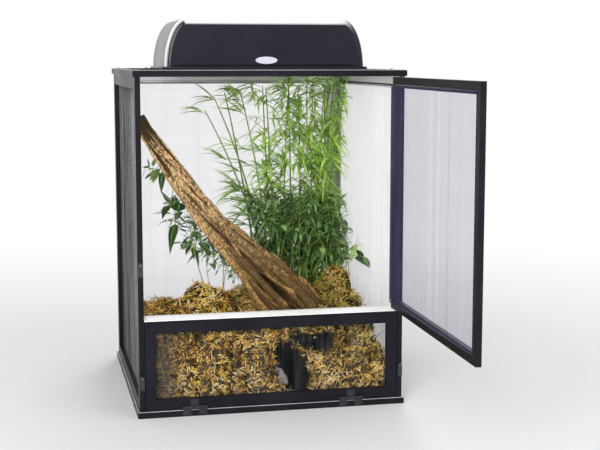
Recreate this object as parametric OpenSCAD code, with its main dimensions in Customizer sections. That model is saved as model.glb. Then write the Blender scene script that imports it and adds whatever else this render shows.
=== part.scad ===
// Screen cage for climbing reptiles: a box of mitred aluminium screen panels with a large
// side-hinged front door, a drop-down lower door, a lamp hood and a planted interior.
// Millimetres. X runs to the right, Y to the back, Z up; the origin is the centre of the base.

/* [Cage] */
// Width over the top and base trims
cage_w = 406; // [360:1:480]
// Depth over the top and base trims
cage_d = 406; // [360:1:480]
// Height from the floor to the top trim
cage_h = 508; // [470:1:620]
// How far the top and base trims stand out past the side panels
trim_t = 3; // [2:0.5:4]
// How far up the base trim's lip covers the panels
base_lip_cover = 4.3; // [4.2:0.1:8]
// How far down the top trim's lip covers the panels
top_lip_cover = 1.3; // [1:0.1:6]
// Bevel along the trims' outer edges
trim_bevel = 1.5; // [0.5:0.1:1.8]
// Thickness of the trim's floor leg under the base panel
base_leg_t = 2; // [1.5:0.5:3]
// Thickness of the plastic base panel
base_panel_t = 3; // [2:0.5:4]

/* [Screen frames] */
// Thickness of every frame bar
bar_t = 8; // [8:0.5:10]
// Width of the bars of the fixed panels
bar_w = 19; // [18:1:24]
// Width of the bars of both doors
door_bar_w = 16; // [16:1:22]
// Wall of the hollow bars
bar_wall = 1.2; // [0.8:0.1:1.6]
// Width of the groove that holds the spline cord
groove_w = 3.6; // [3:0.1:4]
// Depth of the groove
groove_h = 3.4; // [3:0.1:4]
// Width of the lip that the screen lies on, inside the groove
screen_lip = 2; // [1.5:0.1:3]
// Thickness of the screen cloth
screen_t = 0.4; // [0.3:0.1:0.6]
// Length of each arm of the corner keys
key_arm = 30; // [20:1:40]

/* [Front] */
// Height of the top of the lower door
lower_door_top = 142; // [135:1:190]
// Height of the crossbar between the doors
crossbar_h = 6.5; // [6:0.5:12]
// Depth of the crossbar
crossbar_d = 20; // [16:1:30]
// Thickness of the bright strip on the crossbar's slope
sill_t = 0.8; // [0.5:0.1:1.2]
// Gap around each door
door_gap = 0.6; // [0.5:0.1:1]
// How far the upper door stands open
door_open = 89; // [0:1:150]

/* [Hinges and latches] */
// Outer radius of the hinge knuckles
knuckle_r = 2.5; // [2.3:0.1:3]
// Radius of the hinge pins
pin_r = 1.2; // [1:0.1:1.4]
// Length of one knuckle
knuckle_l = 12; // [10:1:16]
// Height of the upper latch's screw
upper_latch_z = 228; // [190:1:420]
// Height of the lower latches' screws
lower_latch_z = 60; // [40:1:110]
// Length of a turn latch, past its screw
latch_l = 18; // [16:1:24]
// Width of a turn latch
latch_w = 7; // [6:0.5:7]
// Thickness of a turn latch
latch_t = 3; // [2.5:0.5:4]

/* [Lamp hood] */
// Width of the hood over its body
hood_w = 312; // [290:1:330]
// Depth of the hood over its body
hood_d = 180; // [160:1:200]
// Height of the hood
hood_h = 76; // [72:1:90]
// How far each curved shoulder runs in
hood_shoulder = 33; // [25:1:40]
// Wall of the hood
hood_wall = 2.5; // [2:0.5:3]
// Width of the rim around the hood's foot
rim_w = 4; // [3:0.5:6]
// Height of the rim
rim_h = 4; // [3:0.5:6]
// How far the hood stands to the right of the middle
hood_x = 12; // [-10:1:14]
// Width of the oval plate on the hood's front
badge_w = 34; // [24:1:44]
// Height of the oval plate
badge_h = 11; // [8:1:12]
// Radius of the ceramic lamp holders
holder_r = 16; // [15:0.5:17]
// Radius of the lamps' screw bases
lamp_base_r = 12.5; // [11:0.5:13]
// Length of the lamps' glass tubes
lamp_tube_l = 52; // [40:1:56]
// Bore of the cord gland
gland_bore_r = 3.2; // [2.5:0.1:3.6]
// Tilt of the switch rocker either way
rocker_tilt = 7; // [5:0.5:7]

/* [Planting] */
// Height of the bedding's top
bedding_top = 118; // [100:1:126]
// Thickness of the moss over the bedding
moss_t = 8; // [5:1:12]
// Radius of the burrow at the front of the bedding
burrow_r = 22; // [16:1:26]
// Depth of the burrow
burrow_l = 66; // [40:1:90]
// Radius of a bamboo cane
cane_r = 2.4; // [2:0.1:3]
// Length of a bamboo leaf
blade_l = 38; // [26:1:44]
// Width of a bamboo leaf
blade_w = 9; // [7:0.5:12]
// Length of a vine leaf
vine_leaf_l = 28; // [20:1:32]
// Width of a vine leaf
vine_leaf_w = 20; // [14:1:24]

/* [Hidden] */
$fn = 48;

fit = 0.2;                 // gap between parts that sit against each other
run = 0.05;                // radial clearance of the hinge pins
mitre_gap = 0.05;          // gap along each mitre of the base trim
cut = 1;                   // how far a cutter reaches past the face it cuts

// Plan of the panels, inside the trims
half_w = cage_w / 2 - trim_t;
half_d = cage_d / 2 - trim_t;
in_w = half_w - bar_t;                       // clear half width between the side panels
in_d = half_d - bar_t;                       // clear half depth between the doors and the back
panel_z0 = base_leg_t + base_panel_t + fit;  // underside of the standing panels
panel_z1 = cage_h - bar_t - fit;             // top of the standing panels
base_lip_h = panel_z0 + base_lip_cover;
top_lip_h = bar_t + fit + top_lip_cover;
side_w = 2 * half_d;
side_h = panel_z1 - panel_z0;
back_w = 2 * (in_w - fit);
top_w = 2 * half_w;
top_d = 2 * half_d;

// Doors
door_w = 2 * (in_w - door_gap);
lower_z0 = base_lip_h + 2 * door_gap;
lower_h = lower_door_top - lower_z0;
front_rail_z1 = lower_z0 - door_gap;
crossbar_z0 = lower_door_top + door_gap;
crossbar_z1 = crossbar_z0 + crossbar_h;
crossbar_lip = 1.5;                          // height of the crossbar's front edge
crossbar_run = 12;                           // depth of the slope behind that edge
upper_z0 = crossbar_z1 + 2 * door_gap;
upper_z1 = cage_h - top_lip_h - door_gap - fit;
upper_h = upper_z1 - upper_z0;

// Hinges: the axes stand in front of the doors' faces
leaf_t = 1;
leaf_l = 12;                                 // reach of a leaf over a door's face
post_leaf_l = bar_t - 1;                     // reach of a leaf over the post's front edge
lip_leaf_l = 11;                             // reach of a leaf down the base trim's lip
hinge_out = knuckle_r + 0.5;
hinge_y = -half_d - hinge_out;
upper_hinge_x = in_w - door_gap / 2;
lower_hinge_z = lower_z0 + knuckle_r;
hinge_inset = 50;                            // from the upper door's ends to its hinges
upper_hinge_zs = [upper_z0 + hinge_inset, upper_z1 - hinge_inset];
lower_hinge_xs = [-in_w * 0.62, in_w * 0.62];
pin_head_r = pin_r + 0.9;
pin_head_h = 1.2;

// Screws
screw_r = 1.4;
screw_hole_r = 1.5;
screw_head_r = 2.3;
screw_head_h = 1.3;
screw_l = 6;
screw_span = 0.72;                           // screws sit at this share of the half length
base_screw_lift = 1.9;
base_screw_z = panel_z0 + base_screw_lift;
latch_x = half_w - bar_t / 2;
latch_gap = 0.5;
latch_y = -half_d - latch_gap;               // back face of the latches

// Hood
hood_z = cage_h + fit;
hood_top_r = 9;                              // rounding of the hood's long top edges
badge_t = 1.2;
badge_lift = 4;                              // the badge's clearance over the rim
badge_z = rim_h + badge_h / 2 + badge_lift;
trough_t = 0.8;
trough_side_t = 1;
trough_end_gap = 7;
trough_l = hood_w - 2 * (hood_shoulder + trough_end_gap);
trough_top_y = 34;
trough_foot_gap = 8;
trough_foot_y = hood_d / 2 - hood_wall - trough_foot_gap;
trough_foot_z = 9;
trough_top_gap = 9;
trough_top_z = hood_h - hood_wall - trough_top_gap;
boss_r = 4;
boss_x = trough_l * 0.3;
holder_l = 30;
holder_z = 38;
holder_back = 6;                             // how far a holder stands out behind its end plate
holder_flange_t = 3;
holder_floor = 4;                            // solid floor behind the socket
lamp_base_l = 28;
lamp_tube_r = 3.6;
lamp_tube_ring = 6.8;                        // radius of the ring that a lamp's tubes stand on
switch_x = 104;
switch_z = 30;
rocker = [13, 6, 19];
rocker_gap = 0.6;
rocker_pin_r = 1.6;
rocker_pin_l = 0.4;                          // how far the pivot pins stand out at each side
bezel_w = 2.5;
bezel_h = 1.2;
gland_x = -104;
gland_z = 26;
gland_r = 5;
gland_flange_r = 7.5;
gland_flange_t = 2;
gland_l = 16;
gland_in = hood_wall + 2;                    // how far the gland reaches into the hood

// Planting. Places are shares of the clear half width, half depth and height over the base sheet.
wall_gap = 0.6;                              // planting's clearance to the panels
bed_half = in_w - wall_gap;
bed_front = -in_d + wall_gap;
bed_back = in_d - wall_gap;
bed_z0 = base_leg_t + base_panel_t + 0.3;
bed_slope_w = 34;                            // how far the bedding's right side runs in
bed_foot_h = 24;                             // height of that side below its slope
moss_z = bedding_top + fit;
burrow_x = 0.22;
burrow_rise = 34;                            // height of the burrow's middle over the bedding's foot
burrow_z = bed_z0 + burrow_rise;
log_clear = 0.4;
log_sides = 12;
// driftwood rows: [x, y, z, radius], from the thin upper end to the buried lower end; a radius is a
// share of the clear half width
log_rows = [[-0.917, 0.10, 0.863, 0.057], [-0.78, 0.06, 0.774, 0.068], [-0.635, 0.02, 0.689, 0.081],
            [-0.47, -0.04, 0.596, 0.089], [-0.31, -0.095, 0.519, 0.099], [-0.145, -0.155, 0.45, 0.12],
            [0.05, -0.24, 0.369, 0.151], [0.22, -0.32, 0.289, 0.177], [0.355, -0.415, 0.208, 0.188],
            [0.47, -0.49, 0.123, 0.172], [0.52, -0.52, 0.07, 0.135]];
// moss mounds: [x, y, radius, height], all as shares of the clear half width or depth
mounds = [[-0.71, -0.63, 0.26, 0.135], [-0.48, -0.44, 0.24, 0.177], [-0.72, -0.12, 0.208, 0.135],
          [0.72, -0.52, 0.219, 0.177], [0.74, -0.14, 0.177, 0.26], [-0.5, 0.7, 0.292, 0.063],
          [0.1, 0.8, 0.26, 0.052]];
// canes: [x, y, z of the tip, lean right, lean back]
canes = [[0.20, 0.62, 0.90, -5, 1], [0.36, 0.50, 0.93, -2, 2], [0.48, 0.76, 0.95, 1, 1],
         [0.60, 0.52, 0.94, 2, 2], [0.72, 0.74, 0.92, 1, 0], [0.78, 0.50, 0.88, 1, 1]];
blades_per_cane = 9;
cane_turn = 40;                              // angle from each cane's first blade to the next cane's
blade_t = 0.7;
blade_rise = 38;                             // angle of a blade above the level
// vine stems: [x, y, z of the tip, lean right, lean back]
vines = [[-0.44, 0.31, 0.53, -13, 4], [-0.29, 0.52, 0.60, -6, 6], [-0.11, 0.36, 0.58, 3, 4],
         [-0.58, 0.54, 0.46, -9, 6], [0.16, 0.14, 0.62, 2, 0], [0.42, 0.12, 0.58, 4, 0]];
leaves_per_vine = 6;
vine_turn = 70;                              // angle from each vine's first leaf to the next vine's
leaf_drop = 24;                              // angle of a vine leaf below the level
vine_r = 1.6;

// ---------------------------------------------------------------- bar profiles and frames

// Cross-section of a hollow bar: x from the outer edge to the inner one, y from the plain face
// to the face that holds the spline groove and the lowered lip for the screen. A trim bar also
// has a bevelled lip past its outer edge, level with the groove's face.
module bar_section(w, lip_out = 0, lip_drop = 0) {
    groove_x = w - screen_lip - groove_w;
    difference() {
        union() {
            square([w, bar_t]);
            if (lip_out > 0)
                polygon([[0, bar_t], [0, bar_t - lip_drop], [-lip_out, bar_t - lip_drop],
                         [-lip_out, bar_t - trim_bevel], [-lip_out + trim_bevel, bar_t]]);
        }
        translate([bar_wall, bar_wall])
            square([groove_x - 2 * bar_wall, bar_t - 2 * bar_wall]);
        translate([groove_x, bar_t - groove_h]) square([groove_w, groove_h + cut]);
        translate([groove_x, bar_t - screen_t]) square([groove_w + screen_lip + cut, screen_t + cut]);
    }
}

// One mitred bar along X, its outer edge on y = 0 and its outer face on z = 0
module mitred(len, w, over = 0, gap = 0) {
    reach = 2 * (w + over + cut);
    depth = max(bar_t, top_lip_h, base_lip_h) + cut;
    difference() {
        translate([-over, 0, 0]) rotate([90, 0, 90]) linear_extrude(len + 2 * over) children();
        for (end = [0, 1])
            translate([end * len, 0, 0]) mirror([end, 0, 0]) rotate([0, 0, 45])
                translate([-reach, -gap, -depth]) cube([2 * reach, reach, 2 * depth]);
    }
}

// Places a bar of a w by h panel: side 0 bottom, 1 right, 2 top, 3 left
module on_side(w, h, side) {
    if (side == 0) children();
    if (side == 1) translate([w, 0, 0]) rotate([0, 0, 90]) children();
    if (side == 2) translate([w, h, 0]) rotate([0, 0, 180]) children();
    if (side == 3) translate([0, h, 0]) rotate([0, 0, -90]) children();
}

module panel_bar(w, h, side, bw = bar_w) {
    on_side(w, h, side) mitred(side % 2 == 0 ? w : h, bw) bar_section(bw);
}

module trim_bar(w, h, side) {
    on_side(w, h, side)
        mitred(side % 2 == 0 ? w : h, bar_w, trim_t) bar_section(bar_w, trim_t, top_lip_h);
}

// Screen cloth of a w by h panel, lying on the lips of its bars
module panel_screen(w, h, bw = bar_w) {
    inset = bw - screen_lip;
    translate([inset, inset, bar_t - screen_t]) cube([w - 2 * inset, h - 2 * inset, screen_t]);
}

// Spline cord pressed into the groove around a panel
module panel_spline(w, h, bw = bar_w) {
    clear = 0.1;
    r = (min(groove_w, groove_h) - clear) / 2;
    inset = bw - screen_lip - groove_w / 2;
    for (side = [0:3]) {
        len = side % 2 == 0 ? w : h;
        on_side(w, h, side)
            translate([inset + r + clear, inset, bar_t - groove_h + r + clear / 2])
                rotate([0, 90, 0]) cylinder(r = r, h = len - 2 * (inset + r + clear));
    }
}

// Four L-shaped keys inside the hollow bars of a panel
module panel_keys(w, h, bw = bar_w) {
    key_w = bw - screen_lip - groove_w - 2 * bar_wall - 2 * fit;
    key_h = bar_t - 2 * bar_wall - 2 * fit;
    place = bar_wall + fit;
    for (side = [0:3])
        on_side(w, h, side) translate([place, place, place])
            union() {
                cube([key_arm, key_w, key_h]);
                cube([key_w, key_arm, key_h]);
            }
}

// ---------------------------------------------------------------- where each panel stands
// A standing panel's own X runs along its width, its Y up and its Z into the cage. The top
// panel lies with its screen upwards, so its Z is the cage's own.

module at_left() {
    translate([-half_w, half_d, panel_z0]) rotate([90, 0, -90]) mirror([0, 0, 1]) children();
}
module at_right() {
    translate([half_w, -half_d, panel_z0]) rotate([90, 0, 90]) mirror([0, 0, 1]) children();
}
module at_back() {
    translate([back_w / 2, half_d, panel_z0]) rotate([90, 0, 180]) mirror([0, 0, 1]) children();
}
module at_top() {
    translate([-half_w, -half_d, cage_h - bar_t]) children();
}
module at_lower_door() {
    translate([-door_w / 2, -half_d, lower_z0]) rotate([90, 0, 0]) mirror([0, 0, 1]) children();
}
module swing_upper_door() {
    translate([upper_hinge_x, hinge_y, 0]) rotate([0, 0, door_open])
        translate([-upper_hinge_x, -hinge_y, 0]) children();
}
module at_upper_door() {
    swing_upper_door()
        translate([-door_w / 2, -half_d, upper_z0]) rotate([90, 0, 0]) mirror([0, 0, 1]) children();
}

// ---------------------------------------------------------------- screws

// A pan-head screw along -Z, its head standing on z = 0
module screw(l = screw_l, lift = 0) {
    translate([0, 0, lift]) cylinder(r1 = screw_head_r, r2 = screw_head_r * 0.7, h = screw_head_h);
    translate([0, 0, -l]) cylinder(r = screw_r, h = l + lift + 0.1);
}

// Puts its children at the screws that hold the top panel down on the side and back panels
module at_top_screws() {
    for (x = [-1, 1], y = [-1, 1])
        translate([x * (half_w - bar_t / 2), y * half_d * screw_span, cage_h]) children();
    for (x = [-1, 1])
        translate([x * half_w * screw_span, half_d - bar_t / 2, cage_h]) children();
}

// Puts its children at the screws through the base trim's lip, facing outwards
module at_base_screws() {
    for (x = [-1, 1], y = [-1, 1])
        translate([x * (half_w + trim_t), y * half_d * screw_span, base_screw_z])
            rotate([0, x * 90, 0]) children();
    for (x = [-1, 1])
        translate([x * half_w * screw_span, half_d + trim_t, base_screw_z]) rotate([-90, 0, 0]) children();
}

// Puts its children at the three latch screws, facing forward
module at_latch_screws() {
    for (p = [[-latch_x, upper_latch_z], [-latch_x, lower_latch_z], [latch_x, lower_latch_z]])
        translate([p[0], -half_d, p[1]]) rotate([90, 0, 0]) children();
}

module screw_hole(l) {
    translate([0, 0, -l - fit]) cylinder(r = screw_hole_r, h = l + fit + cut);
}

module screw_holes() {
    at_top_screws() screw_hole(bar_t + screw_l);
    at_base_screws() screw_hole(screw_l);
    at_latch_screws() screw_hole(screw_l);
}

module frame_screws() {
    color([0.16, 0.16, 0.18]) {
        at_top_screws() screw(bar_t + screw_l);
        at_base_screws() screw(screw_l);
        at_latch_screws() screw(screw_l, latch_gap + latch_t + fit);
    }
}

// ---------------------------------------------------------------- base

// Cross-section of the base trim: a leg under the base panel and a bevelled lip outside it
module base_section() {
    polygon([[-trim_t, 0], [bar_w, 0], [bar_w, base_leg_t], [0, base_leg_t], [0, base_lip_h],
             [-trim_t + trim_bevel, base_lip_h], [-trim_t, base_lip_h - trim_bevel]]);
}

module base_rails() {
    color([0.09, 0.09, 0.10]) difference() {
        translate([-half_w, -half_d, 0])
            for (side = [0:3])
                on_side(top_w, top_d, side)
                    mitred(side % 2 == 0 ? top_w : top_d, bar_w, trim_t, mitre_gap) base_section();
        screw_holes();
    }
}

// Stepped sheet: its edge lies on the trim's legs and its middle is level with their undersides
module base_panel() {
    color([0.07, 0.07, 0.08]) {
        translate([-half_w + fit, -half_d + fit, base_leg_t])
            cube([top_w - 2 * fit, top_d - 2 * fit, base_panel_t]);
        translate([-half_w + bar_w + fit, -half_d + bar_w + fit, 0])
            cube([top_w - 2 * (bar_w + fit), top_d - 2 * (bar_w + fit), base_leg_t + base_panel_t]);
    }
}

// ---------------------------------------------------------------- fixed panels

module left_bar(side) {
    color([0.08, 0.08, 0.09]) difference() {
        at_left() panel_bar(side_w, side_h, side);
        screw_holes();
    }
}

module right_bar(side) {
    color([0.08, 0.08, 0.09]) difference() {
        at_right() panel_bar(side_w, side_h, side);
        screw_holes();
    }
}

module back_bar(side) {
    color([0.08, 0.08, 0.09]) difference() {
        at_back() panel_bar(back_w, side_h, side);
        screw_holes();
    }
}

module top_bar(side) {
    color([0.09, 0.09, 0.10]) difference() {
        at_top() trim_bar(top_w, top_d, side);
        screw_holes();
    }
}

// The cloths of the two side panels and the back panel
module wall_screens() {
    color([0.12, 0.12, 0.13]) {
        at_left() panel_screen(side_w, side_h);
        at_right() panel_screen(side_w, side_h);
        at_back() panel_screen(back_w, side_h);
    }
}

module cage_splines() {
    color([0.04, 0.04, 0.04]) {
        at_left() panel_spline(side_w, side_h);
        at_right() panel_spline(side_w, side_h);
        at_back() panel_spline(back_w, side_h);
        at_top() panel_spline(top_w, top_d);
    }
}

module cage_corner_keys() {
    color([0.2, 0.2, 0.2]) {
        at_left() panel_keys(side_w, side_h);
        at_right() panel_keys(side_w, side_h);
        at_back() panel_keys(back_w, side_h);
        at_top() panel_keys(top_w, top_d);
    }
}

// ---------------------------------------------------------------- front of the cage

// Crossbar between the doors: a low front edge, then a slope up to a flat shelf
module crossbar_section() {
    polygon([[0, 0], [crossbar_d, 0], [crossbar_d, crossbar_h - sill_t],
             [crossbar_run, crossbar_h - sill_t], [0, crossbar_lip]]);
}

module front_crossbar() {
    color([0.08, 0.08, 0.09])
        translate([-in_w + fit, -half_d, crossbar_z0]) rotate([90, 0, 90])
            linear_extrude(2 * (in_w - fit)) crossbar_section();
}

// Bright strip that covers the crossbar's slope and shelf
module sill_strip() {
    color([0.85, 0.85, 0.86])
        translate([-in_w + fit, -half_d, crossbar_z0]) rotate([90, 0, 90])
            linear_extrude(2 * (in_w - fit))
                polygon([[0, crossbar_lip], [crossbar_run, crossbar_h - sill_t],
                         [crossbar_d, crossbar_h - sill_t], [crossbar_d, crossbar_h],
                         [crossbar_run, crossbar_h], [0, crossbar_lip + sill_t]]);
}

module front_bottom_rail() {
    color([0.08, 0.08, 0.09])
        translate([-in_w + fit, -half_d, panel_z0])
            cube([2 * (in_w - fit), bar_t, front_rail_z1 - panel_z0]);
}

// ---------------------------------------------------------------- hinges

// A knuckle along Z, centred on the pin's axis
module knuckle(z0) {
    difference() {
        translate([0, 0, z0]) cylinder(r = knuckle_r, h = knuckle_l - fit);
        translate([0, 0, z0 - cut]) cylinder(r = pin_r + run, h = knuckle_l + 2 * cut);
    }
}

// The leaf that stays still: two outer knuckles, and the pin with its two heads
module fixed_leaf(back, width) {
    for (z = [-1.5 * knuckle_l, 0.5 * knuckle_l]) {
        knuckle(z + fit / 2);
        difference() {
            translate([0, back, z + fit / 2]) cube([width, leaf_t, knuckle_l - fit]);
            translate([0, 0, z - cut]) cylinder(r = (pin_r + knuckle_r) / 2, h = knuckle_l + 2 * cut);
        }
    }
    cylinder(r = pin_r, h = 3 * knuckle_l + pin_head_h, center = true);
    for (end = [0, 1]) mirror([0, 0, end])
        translate([0, 0, 1.5 * knuckle_l]) cylinder(r = pin_head_r, h = pin_head_h);
}

// The leaf that turns: the middle knuckle
module moving_leaf(back, width) {
    knuckle(-knuckle_l / 2 + fit / 2);
    difference() {
        translate([-width, back, -knuckle_l / 2 + fit / 2]) cube([width, leaf_t, knuckle_l - fit]);
        translate([0, 0, -knuckle_l]) cylinder(r = (pin_r + knuckle_r) / 2, h = 2 * knuckle_l);
    }
}

module at_upper_hinges() {
    for (z = upper_hinge_zs) translate([upper_hinge_x, hinge_y, z]) children();
}

module at_lower_hinges() {
    for (x = lower_hinge_xs) translate([x, hinge_y, lower_hinge_z]) rotate([0, 90, 0]) children();
}

module fixed_hinge_leaves() {
    color([0.12, 0.12, 0.13]) {
        at_upper_hinges() fixed_leaf(hinge_out - leaf_t, post_leaf_l);
        at_lower_hinges() fixed_leaf(hinge_out - trim_t - leaf_t, lip_leaf_l);
    }
}

module upper_door_hinge_leaves() {
    color([0.12, 0.12, 0.13])
        swing_upper_door() at_upper_hinges() moving_leaf(hinge_out - leaf_t, leaf_l);
}

module lower_door_hinge_leaves() {
    color([0.12, 0.12, 0.13]) at_lower_hinges() moving_leaf(hinge_out - leaf_t, leaf_l);
}

// ---------------------------------------------------------------- doors and latches

module upper_bar(side) {
    color([0.08, 0.08, 0.09]) at_upper_door() panel_bar(door_w, upper_h, side, door_bar_w);
}

module lower_bar(side) {
    color([0.08, 0.08, 0.09]) at_lower_door() panel_bar(door_w, lower_h, side, door_bar_w);
}

// A turn latch about Y, hanging from its screw on the post
module turn_latch(x, z) {
    straight = latch_l - latch_w / 2;
    color([0.05, 0.05, 0.06]) translate([x, latch_y, z]) rotate([90, 0, 0]) difference() {
        union() {
            for (end = [0, 1]) translate([0, -end * straight, 0]) cylinder(r = latch_w / 2, h = latch_t);
            translate([-latch_w / 2, -straight, 0]) cube([latch_w, straight, latch_t]);
        }
        translate([0, 0, -cut]) cylinder(r = screw_hole_r, h = latch_t + 2 * cut);
    }
}

// ---------------------------------------------------------------- lamp hood

// Front view of the hood's body, shrunk by a wall: flat foot, quarter-ellipse shoulders
module hood_face(wall) {
    w = hood_w / 2 - wall;
    h = hood_h - wall;
    s = hood_shoulder;
    steps = 10;
    polygon([for (i = [0:steps]) [w - s + s * cos(90 * i / steps), h * sin(90 * i / steps)],
             for (i = [0:steps]) [-w + s - s * sin(90 * i / steps), h * cos(90 * i / steps)]]);
}

// Side view of the hood's body: upright walls with rounded top edges
module hood_side(wall) {
    d = hood_d / 2 - wall;
    h = hood_h - wall;
    r = hood_top_r - wall;
    translate([-d, -cut]) square([2 * d, h - r + cut]);
    translate([-d + r, h - r - cut]) square([2 * (d - r), r + cut]);
    for (side = [-1, 1]) translate([side * (d - r), h - r]) circle(r = r);
}

module hood_body(wall) {
    intersection() {
        translate([0, hood_d / 2 + cut, 0]) rotate([90, 0, 0])
            linear_extrude(hood_d + 2 * cut) hood_face(wall);
        translate([-hood_w / 2 - cut, 0, 0]) rotate([90, 0, 90])
            linear_extrude(hood_w + 2 * cut) hood_side(wall);
    }
}

module at_hood() {
    translate([hood_x, 0, hood_z]) children();
}

// The whole shell: body, foot rim, switch bezel, and the holes for the switch and the gland
module hood_form() {
    difference() {
        union() {
            hood_body(0);
            translate([-hood_w / 2 - rim_w, -hood_d / 2 - rim_w, 0])
                cube([hood_w + 2 * rim_w, hood_d + 2 * rim_w, rim_h]);
            translate([switch_x - rocker[0] / 2 - rocker_gap - bezel_w, hood_d / 2 - cut,
                       switch_z - rocker[2] / 2 - rocker_gap - bezel_w])
                cube([rocker[0] + 2 * (rocker_gap + bezel_w), cut + bezel_h,
                      rocker[2] + 2 * (rocker_gap + bezel_w)]);
        }
        difference() {
            hood_body(hood_wall);
            for (x = [-1, 1])
                translate([x * boss_x, 0, trough_top_z + fit]) cylinder(r = boss_r, h = hood_h);
        }
        translate([-hood_w / 2 + hood_wall, -hood_d / 2 + hood_wall, -cut])
            cube([hood_w - 2 * hood_wall, hood_d - 2 * hood_wall, cut + 0.01]);
        translate([switch_x - rocker[0] / 2 - rocker_gap, hood_d / 2 - hood_wall - cut,
                   switch_z - rocker[2] / 2 - rocker_gap])
            cube([rocker[0] + 2 * rocker_gap, hood_wall + bezel_h + 2 * cut, rocker[2] + 2 * rocker_gap]);
        translate([gland_x, hood_d / 2 + cut, gland_z]) rotate([90, 0, 0])
            cylinder(r = gland_r + 0.1, h = hood_wall + 2 * cut);
    }
}

// Room that the front or back sheet takes, out to below the rounded top edge
module hood_sheet_room(side, grow) {
    room_d = hood_wall + rim_w + bezel_h + grow;
    mirror([0, side > 0 ? 0 : 1, 0]) translate([-hood_w, hood_d / 2 - hood_wall - grow, -1])
        cube([2 * hood_w, room_d, hood_h - hood_top_r + 1 + grow]);
}

module hood_front() {
    color([0.06, 0.06, 0.07]) at_hood() intersection() {
        hood_form();
        hood_sheet_room(-1, 0);
    }
}

module hood_back() {
    color([0.06, 0.06, 0.07]) at_hood() intersection() {
        hood_form();
        hood_sheet_room(1, 0);
    }
}

// Sheet bent over the top and down both ends, with the reflector's bosses
module hood_wrap() {
    color([0.06, 0.06, 0.07]) at_hood() difference() {
        hood_form();
        hood_sheet_room(-1, fit);
        hood_sheet_room(1, fit);
    }
}

// Plain oval plate, low on the hood's front
module hood_badge() {
    steps = 32;
    color([0.80, 0.80, 0.84]) at_hood()
        translate([0, -hood_d / 2, badge_z]) rotate([90, 0, 0]) linear_extrude(badge_t)
            polygon([for (i = [0:steps - 1])
                [badge_w / 2 * cos(360 * i / steps), badge_h / 2 * sin(360 * i / steps)]]);
}

// Folded trough over the lamps, with end plates that carry the lamp holders
module hood_reflector() {
    color([0.9, 0.9, 0.92]) at_hood() {
        translate([-trough_l / 2, 0, 0]) rotate([90, 0, 90]) linear_extrude(trough_l)
            for (m = [0, 1]) mirror([m, 0])
                polygon([[0, trough_top_z], [trough_top_y, trough_top_z],
                         [trough_foot_y, trough_foot_z], [trough_foot_y - trough_side_t, trough_foot_z],
                         [trough_top_y - trough_side_t / 2, trough_top_z - trough_t],
                         [0, trough_top_z - trough_t]]);
        for (end = [-1, 1])
            translate([end * (trough_l / 2 - trough_t / 2), 0, 0]) rotate([90, 0, 90])
                linear_extrude(trough_t, center = true) difference() {
                    polygon([[-trough_foot_y + trough_side_t, trough_foot_z],
                             [trough_foot_y - trough_side_t, trough_foot_z],
                             [trough_top_y - trough_side_t / 2, trough_top_z - trough_t],
                             [-trough_top_y + trough_side_t / 2, trough_top_z - trough_t]]);
                    translate([0, holder_z]) circle(r = holder_r + fit);
                }
    }
}

// Runs its children from each end of the trough towards the middle, along X
module at_holders() {
    at_hood() for (end = [0, 1]) mirror([end, 0, 0])
        translate([-trough_l / 2, 0, holder_z]) rotate([0, 90, 0]) children();
}

module lamp_holders() {
    color([0.88, 0.86, 0.82]) at_holders() difference() {
        union() {
            translate([0, 0, -holder_back]) cylinder(r = holder_r, h = holder_l);
            translate([0, 0, -holder_flange_t - fit]) cylinder(r = holder_r + 2, h = holder_flange_t);
        }
        translate([0, 0, -holder_back + holder_floor]) cylinder(r = lamp_base_r + fit, h = holder_l);
    }
}

// A screw base and a ring of glass tubes
module lamps() {
    color([0.95, 0.95, 0.93]) at_holders() translate([0, 0, -holder_back + holder_floor + fit]) {
        cylinder(r = lamp_base_r, h = lamp_base_l);
        for (a = [45:90:315]) rotate([0, 0, a]) translate([lamp_tube_ring, 0, lamp_base_l - cut]) {
            cylinder(r = lamp_tube_r, h = lamp_tube_l);
            translate([0, 0, lamp_tube_l]) sphere(r = lamp_tube_r);
        }
    }
}

module cord_gland() {
    color([0.05, 0.05, 0.05])
        at_hood() translate([gland_x, hood_d / 2, gland_z]) rotate([-90, 0, 0]) difference() {
            union() {
                translate([0, 0, -gland_in]) cylinder(r = gland_r, h = gland_l);
                translate([0, 0, fit]) cylinder(r = gland_flange_r, h = gland_flange_t);
            }
            translate([0, 0, -gland_in - cut]) cylinder(r = gland_bore_r, h = gland_l + 2 * cut);
        }
}

module rocker_switch() {
    color([0.03, 0.03, 0.03])
        at_hood() translate([switch_x, hood_d / 2, switch_z]) rotate([rocker_tilt, 0, 0])
            union() {
                cube(rocker, center = true);
                rotate([0, 90, 0])
                    cylinder(r = rocker_pin_r, h = rocker[0] + 2 * rocker_pin_l, center = true);
            }
}

// ---------------------------------------------------------------- planting

// Place in the cage of [x, y, z] shares
function place(p) = [p[0] * in_w, p[1] * in_d, bed_z0 + p[2] * (panel_z1 - bed_z0)];
function unit(v) = v / norm(v);
log_line = [for (row = log_rows) place(row)];
function tangent(i) =
    unit(log_line[min(i + 1, len(log_line) - 1)] - log_line[max(i - 1, 0)]);
// One ring of points round row i of the driftwood, with three shallow ridges
function ring(i, extra) =
    let (t = tangent(i), a = unit(cross(t, [0, 1, 0])), b = cross(t, a), r = log_rows[i][3] * in_w + extra)
    [for (k = [0:log_sides - 1])
        let (w = 360 * k / log_sides, ridged = r * (1 + 0.08 * cos(3 * w + 40 * i)))
            log_line[i] + ridged * (cos(w) * a + sin(w) * b)];

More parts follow.
